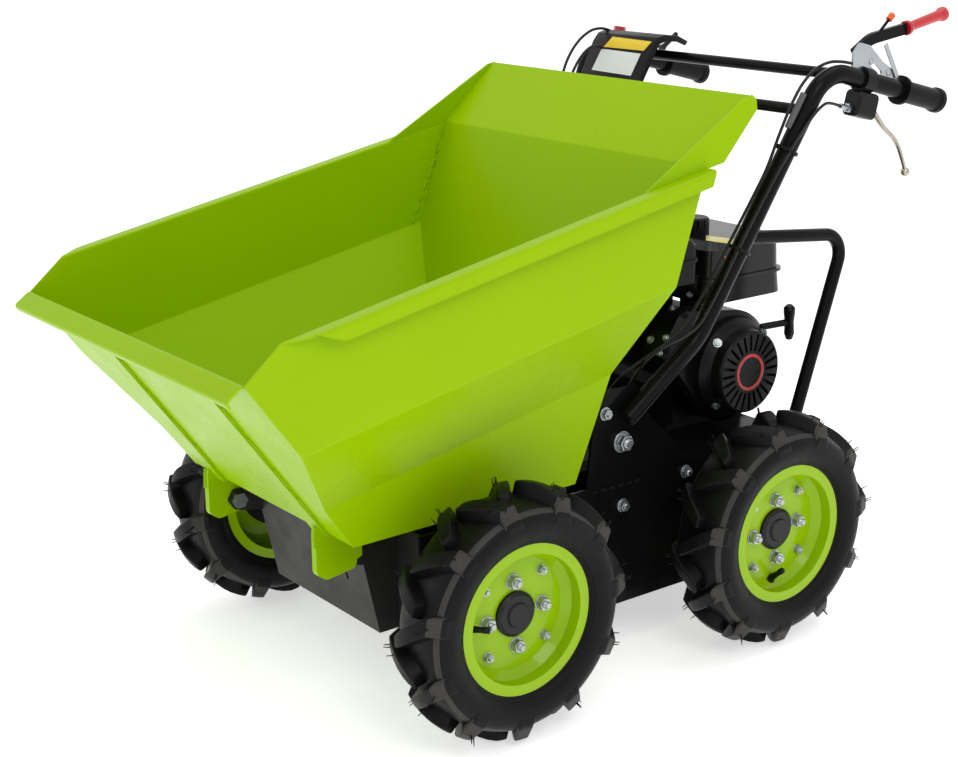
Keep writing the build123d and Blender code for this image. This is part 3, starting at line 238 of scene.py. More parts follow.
def sighted(name, pixel):
    """Where the camera sees a piece at a pixel of its frame, and the face's direction there."""
    across = (pixel[0] - picture_width / 2) / picture_width + camera_data.shift_x
    down = (pixel[1] - picture_height / 2) / picture_width - camera_data.shift_y
    sensor = camera_data.sensor_width
    ray = Vector((sensor * across, -sensor * down, -camera_data.lens)).normalized()
    return touch(name, camera_place, camera.matrix_world.to_3x3() @ ray)


def facing(place, direction, roll=0.0):
    """The matrix that puts a template's Z along a direction at a place."""
    turn = Vector(direction).normalized().to_track_quat("Z", "Y").to_matrix().to_4x4()
    return Matrix.Translation(Vector(place)) @ turn @ Matrix.Rotation(roll, 4, "Z")


def alone(piece):
    """Makes a piece the only one that is selected, and the active one."""
    bpy.ops.object.select_all(action="DESELECT")
    piece.select_set(True)
    bpy.context.view_layer.objects.active = piece


def settle(piece, body, material):
    """Puts a piece's place into its mesh and gives it its material and body."""
    alone(piece)
    bpy.ops.object.transform_apply(location=True, rotation=True, scale=True)
    piece.data.materials.clear()
    piece.data.materials.append(material)
    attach(piece, body)


def joined(pieces, name):
    """Joins pieces into the first one."""
    alone(pieces[0])
    for piece in pieces:
        piece.select_set(True)
    bpy.ops.object.join()
    pieces[0].name = name
    return pieces[0]


def copied(piece, matrix, name):
    """A copy with its own mesh, moved by a matrix; a mirrored copy keeps its faces outward."""
    other = piece.copy()
    other.data = piece.data.copy()
    other.data.transform(matrix)
    if matrix.determinant() < 0:
        other.data.flip_normals()
    other.name = name
    bpy.context.scene.collection.objects.link(other)
    return other


def repeated(name, template, places):
    """Copies of a template at each place, joined. The template is taken away."""
    copies = [copied(template, place, name) for place in places]
    bpy.data.objects.remove(template)
    return joined(copies, name)


def weld(name, points, width, body, material):
    """A bead of overlapping ripples along a line of points."""
    bpy.ops.mesh.primitive_ico_sphere_add(subdivisions=2, radius=0.5)
    drop = bpy.context.object
    bpy.ops.object.shade_smooth()
    ripple_pitch = 0.42 * width
    places = []
    for before, here in zip(points, points[1:]):
        run = here - before
        count = max(1, round(run.length / ripple_pitch))
        for step in range(count):
            spot = before + run * (step / count)
            size = width * (0.92 + 0.16 * sin(12.7 * step + 3.1 * len(places)))
            places.append(facing(spot, run) @ Matrix.Diagonal((size, size, 0.7 * size, 1)))
    settle(repeated(name, drop, places), body, material)


ahead_of_skip = -1.2
strap_edges = (0.1705, 0.1275)
strap_bead_width = 0.0055
stitch_heights = ((0.529, 0.500), (0.478, 0.449), (0.427, 0.398), (0.376, 0.347))
stitch_proud = 0.0008
stitch_count = 0
for side in (1, -1):
    for x in strap_edges:
        for heights in stitch_heights:
            ends = []
            for z in heights:
                place, normal = touch("skip_floor", (side * x, ahead_of_skip, z), (0, 1, 0))
                ends.append(place + normal * stitch_proud)
            stitch_count += 1
            weld(f"strap_weld_{stitch_count}", ends, strap_bead_width, "skip", lime_enamel)

ear_x = 0.160
skip_bead_width = 0.006
ear_root_heights = (0.322, 0.306, 0.290)
ear_bead_proud = 0.0005
for side, word in ((1, "left"), (-1, "right")):
    ends = []
    for z in ear_root_heights:
        place, normal = touch("skip_pivot_arms", (side * ear_x, ahead_of_skip, z), (0, 1, 0))
        ends.append(place + normal * ear_bead_proud)
    weld(f"ear_weld_{word}", ends, skip_bead_width, "skip", lime_enamel)

seam_pixels = (
    ("skip_rear_wall", (447, 128)), ("skip_rear_wall", (441, 143)), ("skip_right_side", (434, 160)),
    ("skip_right_side", (430, 173)), ("skip_right_side", (426, 182)), ("skip_right_side", (422, 195)),
    ("skip_right_side", (418, 206)), ("skip_right_side", (414, 218)), ("skip_right_side", (411, 227)),
)
seam_spots = [sighted(name, pixel)[0] for name, pixel in seam_pixels]
bead_share = 0.55
for count, (before, here) in enumerate(zip(seam_spots, seam_spots[1:])):
    bead = [before, before.lerp(here, bead_share)]
    weld(f"seam_weld_{count + 1}", bead, skip_bead_width, "skip", lime_enamel)


# Chassis: welded black plates, with the nose plate's paint made lighter as painted light for the light on
# its front face. Bolts on washers go through the side plates at the handlebar's tower, alike left and right,
# and the tower is stitch welded along each plate.
def turned(name, profile, centre, axis, steps):
    """A turned form: the profile's (along, radius) points, spun about an axis through the centre."""
    axis = Vector(axis).normalized()
    centre = Vector(centre)
    side = axis.orthogonal().normalized()
    places = [centre + axis * run + side * radius for run, radius in profile]
    bpy.ops.mesh.primitive_circle_add(vertices=3, radius=0.001, location=places[0])
    made = bpy.context.object
    bpy.ops.object.mode_set(mode="EDIT")
    bpy.ops.mesh.select_all(action="SELECT")
    bpy.ops.mesh.merge(type="CENTER")
    for before, here in zip(places, places[1:]):
        bpy.ops.mesh.extrude_region_move(TRANSFORM_OT_translate={"value": here - before})
    bpy.ops.mesh.select_all(action="SELECT")
    bpy.ops.mesh.spin(steps=steps, angle=2 * pi, center=centre, axis=axis)
    bpy.ops.mesh.remove_doubles(threshold=0.00002)
    bpy.ops.mesh.normals_make_consistent(inside=False)
    bpy.ops.object.mode_set(mode="OBJECT")
    bpy.ops.object.transform_apply(location=True)
    bpy.ops.object.shade_smooth_by_angle(angle=radians(35))
    made.name = name
    return made


def rounded(piece, width, segments=1, sharper_than=30):
    """Rounds the active piece's edges that are sharper than an angle in degrees."""
    bevel = piece.modifiers.new("edges", "BEVEL")
    bevel.width = width
    bevel.segments = segments
    bevel.limit_method = "ANGLE"
    bevel.angle_limit = radians(sharper_than)
    bpy.ops.object.modifier_apply(modifier=bevel.name)


def hexagon(name, across, height, washer, stud_radius, stud_height):
    """A nut or bolt head on its washer with its stud end, standing on the origin along +Z."""
    middle = 0.0001
    washer_height = 0.0018
    washer_profile = [
        (0.0, middle), (0.0, washer), (0.0014, washer), (washer_height, washer - 0.0005),
        (washer_height, middle),
    ]
    plate = turned("washer", washer_profile, (0, 0, 0), (0, 0, 1), 24)
    bpy.ops.mesh.primitive_cylinder_add(
        vertices=6, radius=across / 3**0.5, depth=height, location=(0, 0, washer_height + height / 2)
    )
    head = bpy.context.object
    rounded(head, across * 0.055, segments=2)
    bpy.ops.object.transform_apply(location=True)
    groove = stud_radius * 0.86
    turns = max(2, int(stud_height / 0.0016))
    pitch = stud_height / turns
    head_top = height + washer_height
    thread = [(height, groove)]
    for count in range(turns):
        thread += [(head_top + count * pitch, stud_radius), (head_top + (count + 0.5) * pitch, groove)]
    thread += [(head_top + stud_height, stud_radius * 0.8), (head_top + stud_height, middle)]
    stud = turned("stud", thread, (0, 0, 0), (0, 0, 1), 16)
    return joined([plate, head, stud], name)


# Satin grey-black paint of the nose plate, a little lighter than the powder coat: painted light, standing
# for the light that falls on the plate's front face.
nose_painted_light = coating(
    "nose_plate_painted_light", ("#232122", "#292728"), rough=(0.35, 0.5), drift_mm=160, grain_mm=1.0,
    grain_height_mm=0.03, specular=0.2,
)
# The nose plate takes the lighter paint, which is painted light for its lit front face.
dress(nose_painted_light, "chassis_nose")
dress(
    black_powder, "chassis_left_side", "chassis_right_side", "chassis_belly", "engine_deck", "axle_tubes"
)

front_tyre_low, front_tyre_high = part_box("tyre_front_left")
front_axle_y = (front_tyre_low[1] + front_tyre_high[1]) / 2


def at(x, y, z):
    """A point from millimetres: across, behind the front axle and above the ground."""
    return Vector((x / 1000, front_axle_y + y / 1000, z / 1000))


beside_machine = 500
tower_bolts = ((322, 350, 0.024), (286, 403, 0.015), (462, 270, 0.015), (325, 243, 0.015))
first_stitch_y, stitch_pitch, stitch_length = 262, 18, 10
tower_weld_height = 278
tower_bead_width = 0.005
for side, word in ((1, "left"), (-1, "right")):
    plate_name = f"chassis_{word}_side"
    bolts = []
    for y, z, across in tower_bolts:
        place, _ = touch(plate_name, at(side * beside_machine, y, z), (-side, 0, 0))
        bolt = hexagon(
            "bolt", across, height=across * 0.5, washer=across * 0.72, stud_radius=across * 0.3,
            stud_height=across * 0.2,
        )
        bolts.append(copied(bolt, facing(place, (side, 0, 0), 0.4), "bolt"))
        bpy.data.objects.remove(bolt)
    settle(joined(bolts, f"chassis_bolts_{word}"), "chassis", zinc_steel)
    for count in range(6):
        start_y = first_stitch_y + count * stitch_pitch
        ends = []
        for y in (start_y, start_y + stitch_length):
            place, _ = touch(plate_name, at(side * beside_machine, y, tower_weld_height), (-side, 0, 0))
            ends.append(place)
        name = f"tower_weld_{word}_{count + 1}"
        weld(name, ends, tower_bead_width, "chassis", black_powder)

# Tyres: a ribbed carcass with two rows of eleven slanted lugs, each with a sloped shoulder foot.
# The lugs stand on the carcass with a wider root and rounded edges, as rubber leaves its mould.
lug_count = 11
lug_pitch = 2 * pi / lug_count
bead_seat = [(0.0372, 0.1035), (0.0385, 0.1130), (0.0412, 0.1172), (0.0432, 0.1180)]
bead_rings = [(0.0436, 0.1196), (0.0448, 0.1206), (0.0462, 0.1212), (0.0466, 0.1228), (0.0482, 0.1246)]
side_wall = [(0.0508, 0.1300), (0.0524, 0.1360), (0.0530, 0.1420), (0.0526, 0.1480), (0.0508, 0.1545)]
crown = [(0.0470, 0.1605), (0.0400, 0.1660), (0.0290, 0.1700), (0.0150, 0.1724)]
half_section = bead_seat + bead_rings + side_wall + crown
mirrored_section = [(-x, radius) for x, radius in reversed(half_section)]
section = half_section + [(0.0, 0.1730)] + mirrored_section + [half_section[0]]
carcass = turned("carcass", section, (0, 0, 0), (1, 0, 0), 12 * lug_count)

lug_length, lug_width, lug_height = 0.070, 0.025, 0.027
bpy.ops.mesh.primitive_cube_add(size=1.0, scale=(lug_length, lug_width, lug_height))
lug = bpy.context.object
bpy.ops.object.transform_apply(scale=True)
bpy.ops.object.mode_set(mode="EDIT")
bpy.ops.mesh.select_all(action="SELECT")
bpy.ops.mesh.subdivide(number_cuts=5)
bpy.ops.object.mode_set(mode="OBJECT")
root_flare = 0.38
inner_end_taper = 0.28
for vertex in lug.data.vertices:
    depth = 0.5 - vertex.co.z / lug_height
    vertex.co.y *= 1 + root_flare * depth
    end = max(0.0, -vertex.co.x / (lug_length / 2) - 0.6) / 0.4
    vertex.co.y *= 1 - inner_end_taper * end**2
rounded(lug, 0.0026, segments=3, sharper_than=50)

# The straight lug is bent round the tyre. Its top and root follow the crown out to the shoulder at
# 42 mm and then fall steeply, and it slants by 12 degrees from its inner end to the shoulder.
lug_middle_x = 0.018
shoulder_x = 42
top_at_middle, top_fall, top_at_shoulder, top_slope = 193, 0.006, 182.4, 2.3
root_at_middle, root_fall, root_at_shoulder, root_slope = 166, 0.004, 158.9, 1.2
slant_run = 59
slant = 12
foot_turn = 3.9
for vertex in lug.data.vertices:
    x = (vertex.co.x + lug_middle_x) * 1000
    height = 0.5 + vertex.co.z / lug_height
    if x < shoulder_x:
        top = top_at_middle - top_fall * x * x
        root = root_at_middle - root_fall * x * x
    else:
        top = top_at_shoulder - (x - shoulder_x) * top_slope
        root = root_at_shoulder - (x - shoulder_x) * root_slope
    radius = (root + height * (top - root)) / 1000
    swing = foot_turn + slant * max(0.0, (shoulder_x - x) / slant_run)
    angle = radians(swing) + vertex.co.y / radius
    vertex.co = (x / 1000, radius * cos(angle), radius * sin(angle))
bpy.ops.object.shade_smooth_by_angle(angle=radians(40))
half_pitch_on = Matrix.Rotation(-lug_pitch / 2, 4, "X") @ Matrix.Scale(-1, 4, (1, 0, 0))
far_lug = copied(lug, half_pitch_on, "far_lug")
lugs = []
for count in range(lug_count):
    for one in (lug, far_lug):
        lugs.append(copied(one, Matrix.Rotation(count * lug_pitch, 4, "X"), "lug"))
bpy.data.objects.remove(lug)
bpy.data.objects.remove(far_lug)
tyre = joined([carcass] + lugs, "tyre")

# Tyre rubber, fresh from the mould: dark grey, softly shining, with the mould's turned lines. They
# are too fine to show at their real spacing and are drawn 1.7 mm apart.
tyre_rubber = coating(
    "tyre_rubber", ("#0A0A0B", "#121213"), rough=(0.32, 0.48), drift_mm=60, grain_mm=0.9,
    grain_height_mm=0.05, lines_mm=1.7, specular=0.12,
)
# The lugs' shoulder faces, scuffed to a lighter and duller grey-brown by handling.
scuffed_rubber = coating(
    "scuffed_rubber", ("#3A3735", "#2C2A29"), rough=(0.45, 0.62), drift_mm=14, grain_mm=0.9,
    grain_height_mm=0.06, specular=0.25,
)
axle_height = 0.193
scuffed_beyond_x = 0.0425
scuffed_beyond_radius = 0.162
wheel_sides = {"front_left": 1, "front_right": -1, "rear_left": 1, "rear_right": -1}
wheel_centres = {}
for wheel, side in wheel_sides.items():
    low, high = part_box(f"tyre_{wheel}")
    centre = Vector(((low[0] + high[0]) / 2, (low[1] + high[1]) / 2, axle_height))
    wheel_centres[wheel] = centre
    dress(tyre_rubber, f"tyre_{wheel}")
    one = copied(tyre, Matrix.Translation(centre) @ Matrix.Scale(side, 4, (1, 0, 0)), f"lugged_tyre_{wheel}")
    settle(one, f"wheel_{wheel}", tyre_rubber)
    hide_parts(f"tyre_{wheel}")
    one.data.materials.append(scuffed_rubber)
    for face in one.data.polygons:
        from_centre = face.center - centre
        if abs(from_centre.x) > scuffed_beyond_x and from_centre.yz.length > scuffed_beyond_radius:
            face.material_index = 1
bpy.data.objects.remove(tyre)

# Moulding whiskers: thin rubber hairs that the mould's vents leave in groups at the lugs' tips.
# They lean outwards and up, so none reaches the ground.
hair_length = 0.012
hair_middle = 0.0055
hair_sunk = 0.001
hair_reach = 0.010
ground_clearance = 0.004
lowest_hair = -0.93
hair_roots = ((0.041, 0.035, 0.1815), (0.030, 0.10, 0.1855), (0.0425, 0.02, 0.1795))
for wheel, side in wheel_sides.items():
    centre = wheel_centres[wheel]
    bpy.ops.mesh.primitive_cone_add(
        vertices=5, radius1=0.0011, radius2=0.0006, depth=hair_length, location=(0, 0, hair_middle)
    )
    hair = bpy.context.object
    bpy.ops.object.transform_apply(location=True)
    bpy.ops.object.shade_smooth()
    places = []
    for count in range(2 * lug_count):
        row = side if count % 2 == 0 else -side
        angle = radians(foot_turn) + count * lug_pitch / 2
        for x, turn, out in hair_roots:
            swing = angle + turn * (1 + 0.3 * sin(7.1 * count + 90 * x))
            radial = Vector((0, cos(swing), sin(swing)))
            if radial.z < lowest_hair:
                continue
            along = Vector((row, 0, 0))
            point = centre + along * x + radial * (out - hair_sunk)
            lean = radial + along * (0.45 + 0.3 * sin(3.7 * count)) + Vector((0, 0, 0.2))
            if point.z + hair_reach * lean.normalized().z > ground_clearance:
                places.append(facing(point, lean))
    hairs = repeated(f"tyre_whiskers_{wheel}", hair, places)
    settle(hairs, f"wheel_{wheel}", tyre_rubber)

# Rims and hubs: pressed steel dishes in the skip's lime colour, bolted to turned steel hubs.
# Each wheel's rim and hub are alike.
# Rim enamel: the skip's lime under a clear bright top coat that mirrors the studio.
rim_enamel = coating(
    "rim_enamel", lime_colours, rough=(0.2, 0.28), drift_mm=200, grain_mm=2.4, grain_height_mm=0.01,
    coat=0.35, coat_rough=0.06, specular=0.1,
)
# Hub paint: satin black over turned steel, softly shining.
hub_paint = coating(
    "hub_paint", ("#131314", "#1A1A1B"), rough=(0.3, 0.4), drift_mm=50, grain_mm=1.0,
    grain_height_mm=0.02, specular=0.25,
)
for wheel in wheel_sides:
    dress(rim_enamel, f"rim_{wheel}")
    dress(hub_paint, f"hub_{wheel}")

# Wheel hardware: four nuts on studs hold each rim's disc to the hub flange, and four smaller bolts
# stand further out between them. All are zinc plated hexagons on washers.
nut_circle = 0.050
nut_turn = 0.06
bolt_circle = 0.0735
bolt_scale = 0.68
ray_run = 0.3
nut = hexagon("wheel_nut", across=0.018, height=0.010, washer=0.0118, stud_radius=0.0055, stud_height=0.006)


def on_rim(wheel, radius, angle):
    """The place on a rim's outer face at a radius and an angle round its hub."""
    side = wheel_sides[wheel]
    start = wheel_centres[wheel] + Vector((side * ray_run, radius * cos(angle), radius * sin(angle)))
    return touch(f"rim_{wheel}", start, (-side, 0, 0))[0]


for wheel, side in wheel_sides.items():
    pieces = []
    for count in range(4):
        angle = count * pi / 2 + nut_turn
        place = on_rim(wheel, nut_circle, angle)
        pieces.append(copied(nut, facing(place, (side, 0, 0), 0.3 + count), "nut"))
        place = on_rim(wheel, bolt_circle, angle + pi / 4)
        smaller = Matrix.Scale(bolt_scale, 4)
        pieces.append(copied(nut, facing(place, (side, 0, 0), 1.1 * count) @ smaller, "bolt"))
    settle(joined(pieces, f"wheel_nuts_{wheel}"), f"wheel_{wheel}", zinc_steel)
bpy.data.objects.remove(nut)

# Tyre valves: a black stem with a flared foot and a plain cap stands in each rim's disc.
# It leans outwards and a little towards the hub.
# Black moulded plastic: matt, with a fine spark-eroded texture.
black_plastic = coating(
    "black_moulded_plastic", ("#0D0D0D", "#131313"), rough=(0.3, 0.4), drift_mm=90, grain_mm=0.5,
    grain_height_mm=0.02, specular=0.15,
)
valve_circle = 0.086
valve_foot = [(-0.003, 0.0001), (-0.003, 0.0085), (0.001, 0.0085), (0.003, 0.0062)]
valve_stem = [(0.012, 0.0050), (0.024, 0.0042)]
valve_cap = [(0.0245, 0.0046), (0.025, 0.0050), (0.033, 0.0050), (0.0345, 0.0040), (0.0345, 0.0001)]
for wheel, side in wheel_sides.items():
    angle = pi if wheel.startswith("front") else 1.48 * pi
    inward = Vector((0, -cos(angle), -sin(angle)))
    lean = Vector((side, 0, 0)) * 0.75 + inward * 0.65
    place = on_rim(wheel, valve_circle, angle)
    valve = turned(f"tyre_valve_{wheel}", valve_foot + valve_stem + valve_cap, place, lean, 20)
    settle(valve, f"wheel_{wheel}", black_plastic)

# Engine and gearbox: finned aluminium castings painted black. Shroud, muffler and tank mount are
# powder coated sheet, the covers and caps moulded plastic.
# Black painted cast aluminium: dull, with a coarse sand grain that breaks up the light.
cast_black = coating(
    "black_cast_aluminium", ("#0C0C0D", "#141416"), rough=(0.4, 0.55), drift_mm=40, grain_mm=0.7,
    grain_height_mm=0.06, specular=0.2,
)
dress(cast_black, "engine_block", "gearbox", "carburettor")
dress(black_powder, "fan_shroud", "muffler", "tank_mount")
dress(black_plastic, "recoil_cover", "air_filter", "fuel_cap", "starter_handle", "drive_belt_cover")

# Recoil starter: a plain red ring round the middle of the louvred cover, and the cover's four screws.
# Red moulded plastic: bright and smooth under a thin clear gloss.
red_plastic = coating(
    "red_plastic", ("#C4151C", "#B31018"), rough=(0.25, 0.35), drift_mm=30, grain_mm=1.0,
    grain_height_mm=0.008, coat=0.3,
)
starter_y, starter_z = 648, 396
ring_reach = 30
starter_middle, _ = touch("recoil_cover", at(beside_machine, starter_y, starter_z), (-1, 0, 0))
ring_seat, _ = touch("recoil_cover", at(beside_machine, starter_y + ring_reach, starter_z), (-1, 0, 0))
ring_section = [
    (0.0, 0.0262), (0.0009, 0.0268), (0.0012, 0.0280), (0.0012, 0.0304), (0.0009, 0.0316), (0.0, 0.0322),
    (0.0, 0.0262),
]
ring_centre = (ring_seat.x, starter_middle.y, starter_middle.z)
ring = turned("starter_ring", ring_section, ring_centre, (1, 0, 0), 72)
settle(ring, "chassis", red_plastic)

screw_circle = 0.078
screw = hexagon("screw", across=0.010, height=0.004, washer=0.008, stud_radius=0.0025, stud_height=0.001)
screws = []
for angle in (0.25 * pi, 0.75 * pi, 1.25 * pi, 1.75 * pi):
    spot = starter_middle + Vector((ray_run, screw_circle * cos(angle), screw_circle * sin(angle)))
    place, normal = touch("recoil_cover", spot, (-1, 0, 0))
    screws.append(copied(screw, facing(place, normal), "screw"))
bpy.data.objects.remove(screw)
settle(joined(screws, "starter_screws"), "chassis", zinc_steel)


# Fuel tank: pressed steel in black stove enamel, with two blank labels of printed film, one pale
# yellow and one orange.
def film(name, colours):
    """Printed film: smooth, slightly shiny, faintly uneven in tone."""
    return coating(name, colours, rough=(0.28, 0.36), drift_mm=20, grain_mm=2.0, grain_height_mm=0.004)


film_lift = 0.0006
film_thickness = 0.0005


def label(name, carrier, corners, material):
    """A film that follows a piece's surface between four pixels, clockwise from its upper left."""
    upper_left, upper_right, lower_right, lower_left = (Vector(corner) for corner in corners)
    bpy.ops.mesh.primitive_grid_add(x_subdivisions=10, y_subdivisions=6, size=1.0)
    made = bpy.context.object
    made.name = name
    for vertex in made.data.vertices:
        u, v = vertex.co.x + 0.5, 0.5 - vertex.co.y
        pixel = upper_left.lerp(upper_right, u).lerp(lower_left.lerp(lower_right, u), v)
        place, normal = sighted(carrier, pixel)
        vertex.co = place + normal * film_lift
    thick = made.modifiers.new("film", "SOLIDIFY")
    thick.thickness = film_thickness
    thick.offset = 1
    bpy.ops.object.modifier_apply(modifier=thick.name)
    settle(made, "chassis", material)


# Black stove enamel: smooth and glossy, with clear soft reflections.
tank_enamel = coating(
    "black_tank_enamel", ("#0E0E10", "#141416"), rough=(0.14, 0.22), drift_mm=200, grain_mm=3.0,
    grain_height_mm=0.01, specular=0.3,
)
dress(tank_enamel, "fuel_tank")
top_label_pixels = ((706, 236), (737, 240), (737, 245), (706, 241))
middle_label_pixels = ((724, 256), (739, 258), (739, 264), (724, 262))
pale_yellow_film = film("pale_yellow_film", ("#E8DC8A", "#E0D27A"))
orange_film = film("orange_film", ("#D9661C", "#CF5B14"))
label("tank_label_top", "fuel_tank", top_label_pixels, pale_yellow_film)
label("tank_label_middle", "fuel_tank", middle_label_pixels, orange_film)

# Engine fasteners: small zinc screws on the shroud and the tank that catch the light.
# Each stands on the face that carries it.
fastener_pixels = (
    ("fan_shroud", (651, 340), 0.9), ("fan_shroud", (666, 338), 0.8), ("fan_shroud", (660, 353), 0.8),
    ("fuel_tank", (690, 295), 0.8), ("fan_shroud", (672, 309), 0.7),
)
screw = hexagon("screw", across=0.010, height=0.0045, washer=0.0078, stud_radius=0.0026, stud_height=0.0015)
fasteners = []
for carrier, pixel, size in fastener_pixels:
    place, normal = sighted(carrier, pixel)
    fasteners.append(copied(screw, facing(place, normal, pixel[0]) @ Matrix.Scale(size, 4), "screw"))
bpy.data.objects.remove(screw)
settle(joined(fasteners, "engine_fasteners"), "chassis", zinc_steel)

# Handlebar: powder coated steel tubes with crossbars, two guard hoops beside the engine, and two
# moulded hand grips pushed over the tubes' ends.
# Grip rubber: deep black, dull, slightly grained.
grip_rubber = coating(
    "grip_rubber", ("#080808", "#0E0E0E"), rough=(0.36, 0.46), drift_mm=40, grain_mm=0.8,
    grain_height_mm=0.04, specular=0.12,
)
dress(black_powder, "handlebar_tubes", "handlebar_crossbars", "engine_guards")
dress(grip_rubber, "hand_grips")

# Console cover: a bent plastic sheet over the crossbars with turned edges, wider than its solid.
# It keeps the solid's bend line and stands between the right tube and the middle.
dress(black_plastic, "control_console")
dress(red_plastic, "engine_switch")
cover_line = [
    at(0, 618, 842), at(0, 641, 888), at(0, 659, 922), at(0, 670, 934), at(0, 686, 938), at(0, 718, 935),
    at(0, 742, 924),
]
cover_left, cover_right = -0.104, -0.262
cover_thickness = 0.002
edge_strip = 0.002
edge_turn = 0.010
cover_middle = at(0, 690, 890)
bpy.ops.mesh.primitive_plane_add(size=1.0)
cover = bpy.context.object
bpy.ops.object.mode_set(mode="EDIT")
bpy.ops.mesh.select_all(action="SELECT")
bpy.ops.mesh.merge(type="CENTER")
bpy.ops.transform.translate(value=(cover_right, *cover_line[0].yz))
for before, here in zip(cover_line, cover_line[1:]):
    bpy.ops.mesh.extrude_region_move(TRANSFORM_OT_translate={"value": here - before})
bpy.ops.mesh.select_all(action="SELECT")
for step in (edge_strip, cover_left - cover_right - 2 * edge_strip, edge_strip):
    bpy.ops.mesh.extrude_region_move(TRANSFORM_OT_translate={"value": (step, 0, 0)})
bpy.ops.object.mode_set(mode="OBJECT")
for edge in (cover_left, cover_right):
    for vertex in cover.data.vertices:
        if abs(vertex.co.x - edge) < edge_strip / 4:
            inward = Vector((0, cover_middle.y - vertex.co.y, cover_middle.z - vertex.co.z)).normalized()
            vertex.co += inward * edge_turn
sheet = cover.modifiers.new("sheet", "SOLIDIFY")
sheet.thickness = cover_thickness
bpy.ops.object.modifier_apply(modifier=sheet.name)
rounded(cover, 0.0007, segments=2)
bpy.ops.object.mode_set(mode="EDIT")
bpy.ops.mesh.select_all(action="SELECT")
bpy.ops.mesh.normals_make_consistent(inside=False)
bpy.ops.object.mode_set(mode="OBJECT")
bpy.ops.object.shade_smooth_by_angle(angle=radians(50))
cover.name = "console_cover"
settle(cover, "chassis", black_plastic)
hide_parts("control_console")
frame["nodes"]["console_cover"] = cover

# Console plates: two blank plates of printed film on the cover, one yellow and one white.
# They lie flat on the sheet and follow its bend.
yellow_plate_pixels = ((613, 37), (652, 42), (644, 51), (604, 47))
white_plate_pixels = ((602, 49), (641, 54), (631, 76), (592, 70))
yellow_film = film("yellow_film", ("#E9C81E", "#E2BE14"))
white_film = film("white_film", ("#E4E6E6", "#DADCDC"))
label("console_plate_yellow", "console_cover", yellow_plate_pixels, yellow_film)
label("console_plate_white", "console_cover", white_plate_pixels, white_film)

# Throttle stalk: a short black plastic rod with a rounded end in a moulded boot.
# It leans up and back behind the console.
stalk_foot, stalk_end = at(-215, 782, 902), at(-215, 820.5, 928.6)
stalk_run = stalk_end - stalk_foot
stalk_radius = 0.0045
boot = [(0.0, 0.0001), (0.0, 0.0075), (0.006, 0.0062), (0.010, stalk_radius)]
rod = [
    (stalk_run.length - 0.003, stalk_radius), (stalk_run.length - 0.001, 0.0034),
    (stalk_run.length, 0.0001),
]
stalk = turned("throttle_stalk", boot + rod, stalk_foot, stalk_run, 24)
settle(stalk, "chassis", black_plastic)

# Tipping lever: a black steel arm with a red grip on a zinc plated bracket, and an orange latch knob.
# Two button rivets hold the bracket and a flat link runs down to the latch.
# Orange moulded plastic: smooth and softly shining.
orange_plastic = coating(
    "orange_plastic", ("#E4601B", "#D85514"), rough=(0.28, 0.38), drift_mm=20, grain_mm=1.0,
    grain_height_mm=0.008,
)
dress(black_powder, "tipping_lever")
dress(red_plastic, "tipping_lever_grip")
dress(zinc_steel, "tipping_lever_bracket")
dress(orange_plastic, "latch_knob")
rivet_profile = [(0.0, 0.0001), (0.0, 0.0055), (0.0012, 0.0052), (0.0025, 0.0036), (0.0030, 0.0001)]
rivets = []
for y, z in ((776.7, 918.4), (820.0, 898.0)):
    place, _ = touch("tipping_lever_bracket", at(beside_machine, y, z), (-1, 0, 0))
    rivets.append(turned("rivet", rivet_profile, place, (1, 0, 0), 24))
settle(joined(rivets, "bracket_rivets"), "chassis", zinc_steel)
link_top, link_foot = at(284, 809, 940), at(284, 838, 893)
link_thickness, link_width = 0.0025, 0.009
bpy.ops.mesh.primitive_cube_add(size=1.0, location=(link_top + link_foot) / 2)
link = bpy.context.object
link.scale = (link_thickness, link_width, (link_top - link_foot).length + link_width)
link.rotation_euler = (atan2((link_foot - link_top).y, (link_top - link_foot).z), 0, 0)
bpy.ops.object.transform_apply(location=False, rotation=False, scale=True)
rounded(link, 0.001, segments=2)
link.name = "latch_link"
settle(link, "chassis", zinc_steel)

# Control cables: steel cables in plastic jackets, led down the left tube. Two ties, each with its
# square head, hold them to the tube, and a zinc plated adjuster ends the clutch's.
# PVC jacket: black with a soft shine.
cable_jacket = coating(
    "cable_jacket", ("#0C0C0D", "#131314"), rough=(0.22, 0.32), drift_mm=30, grain_mm=1.2,
    grain_height_mm=0.01, specular=0.3,
)
dress(cable_jacket, "control_cables")
dress(zinc_steel, "cable_adjuster")
tube_low, tube_high = at(220.3, 466, 498), at(280, 671, 913)
tube_run = (tube_high - tube_low).normalized()
tie_band = [(-0.0024, 0.0194), (0.0024, 0.0194), (0.0024, 0.0206), (-0.0024, 0.0206), (-0.0024, 0.0194)]
tie_shift = Vector((0.0015, -0.0036, 0.0018))
tie_head_size = (0.006, 0.006, 0.005)
tie_head_reach = 0.0225
outward = Vector((0.8, -0.55, 0.2)).normalized()
outward = (outward - tube_run * outward.dot(tube_run)).normalized()
for count, share in enumerate((0.70, 0.33)):
    name = f"cable_tie_{count + 1}"
    middle = tube_low.lerp(tube_high, share) + tie_shift
    tie = turned(name, tie_band, middle, tube_run, 48)
    bpy.ops.mesh.primitive_cube_add(size=1.0, location=middle + outward * tie_head_reach)
    head = bpy.context.object
    head.scale = tie_head_size
    head.rotation_euler = tube_run.to_track_quat("Z", "Y").to_euler()
    bpy.ops.object.transform_apply(location=True, rotation=True, scale=True)
    rounded(head, 0.0008)
    settle(joined([tie, head], name), "chassis", black_plastic)

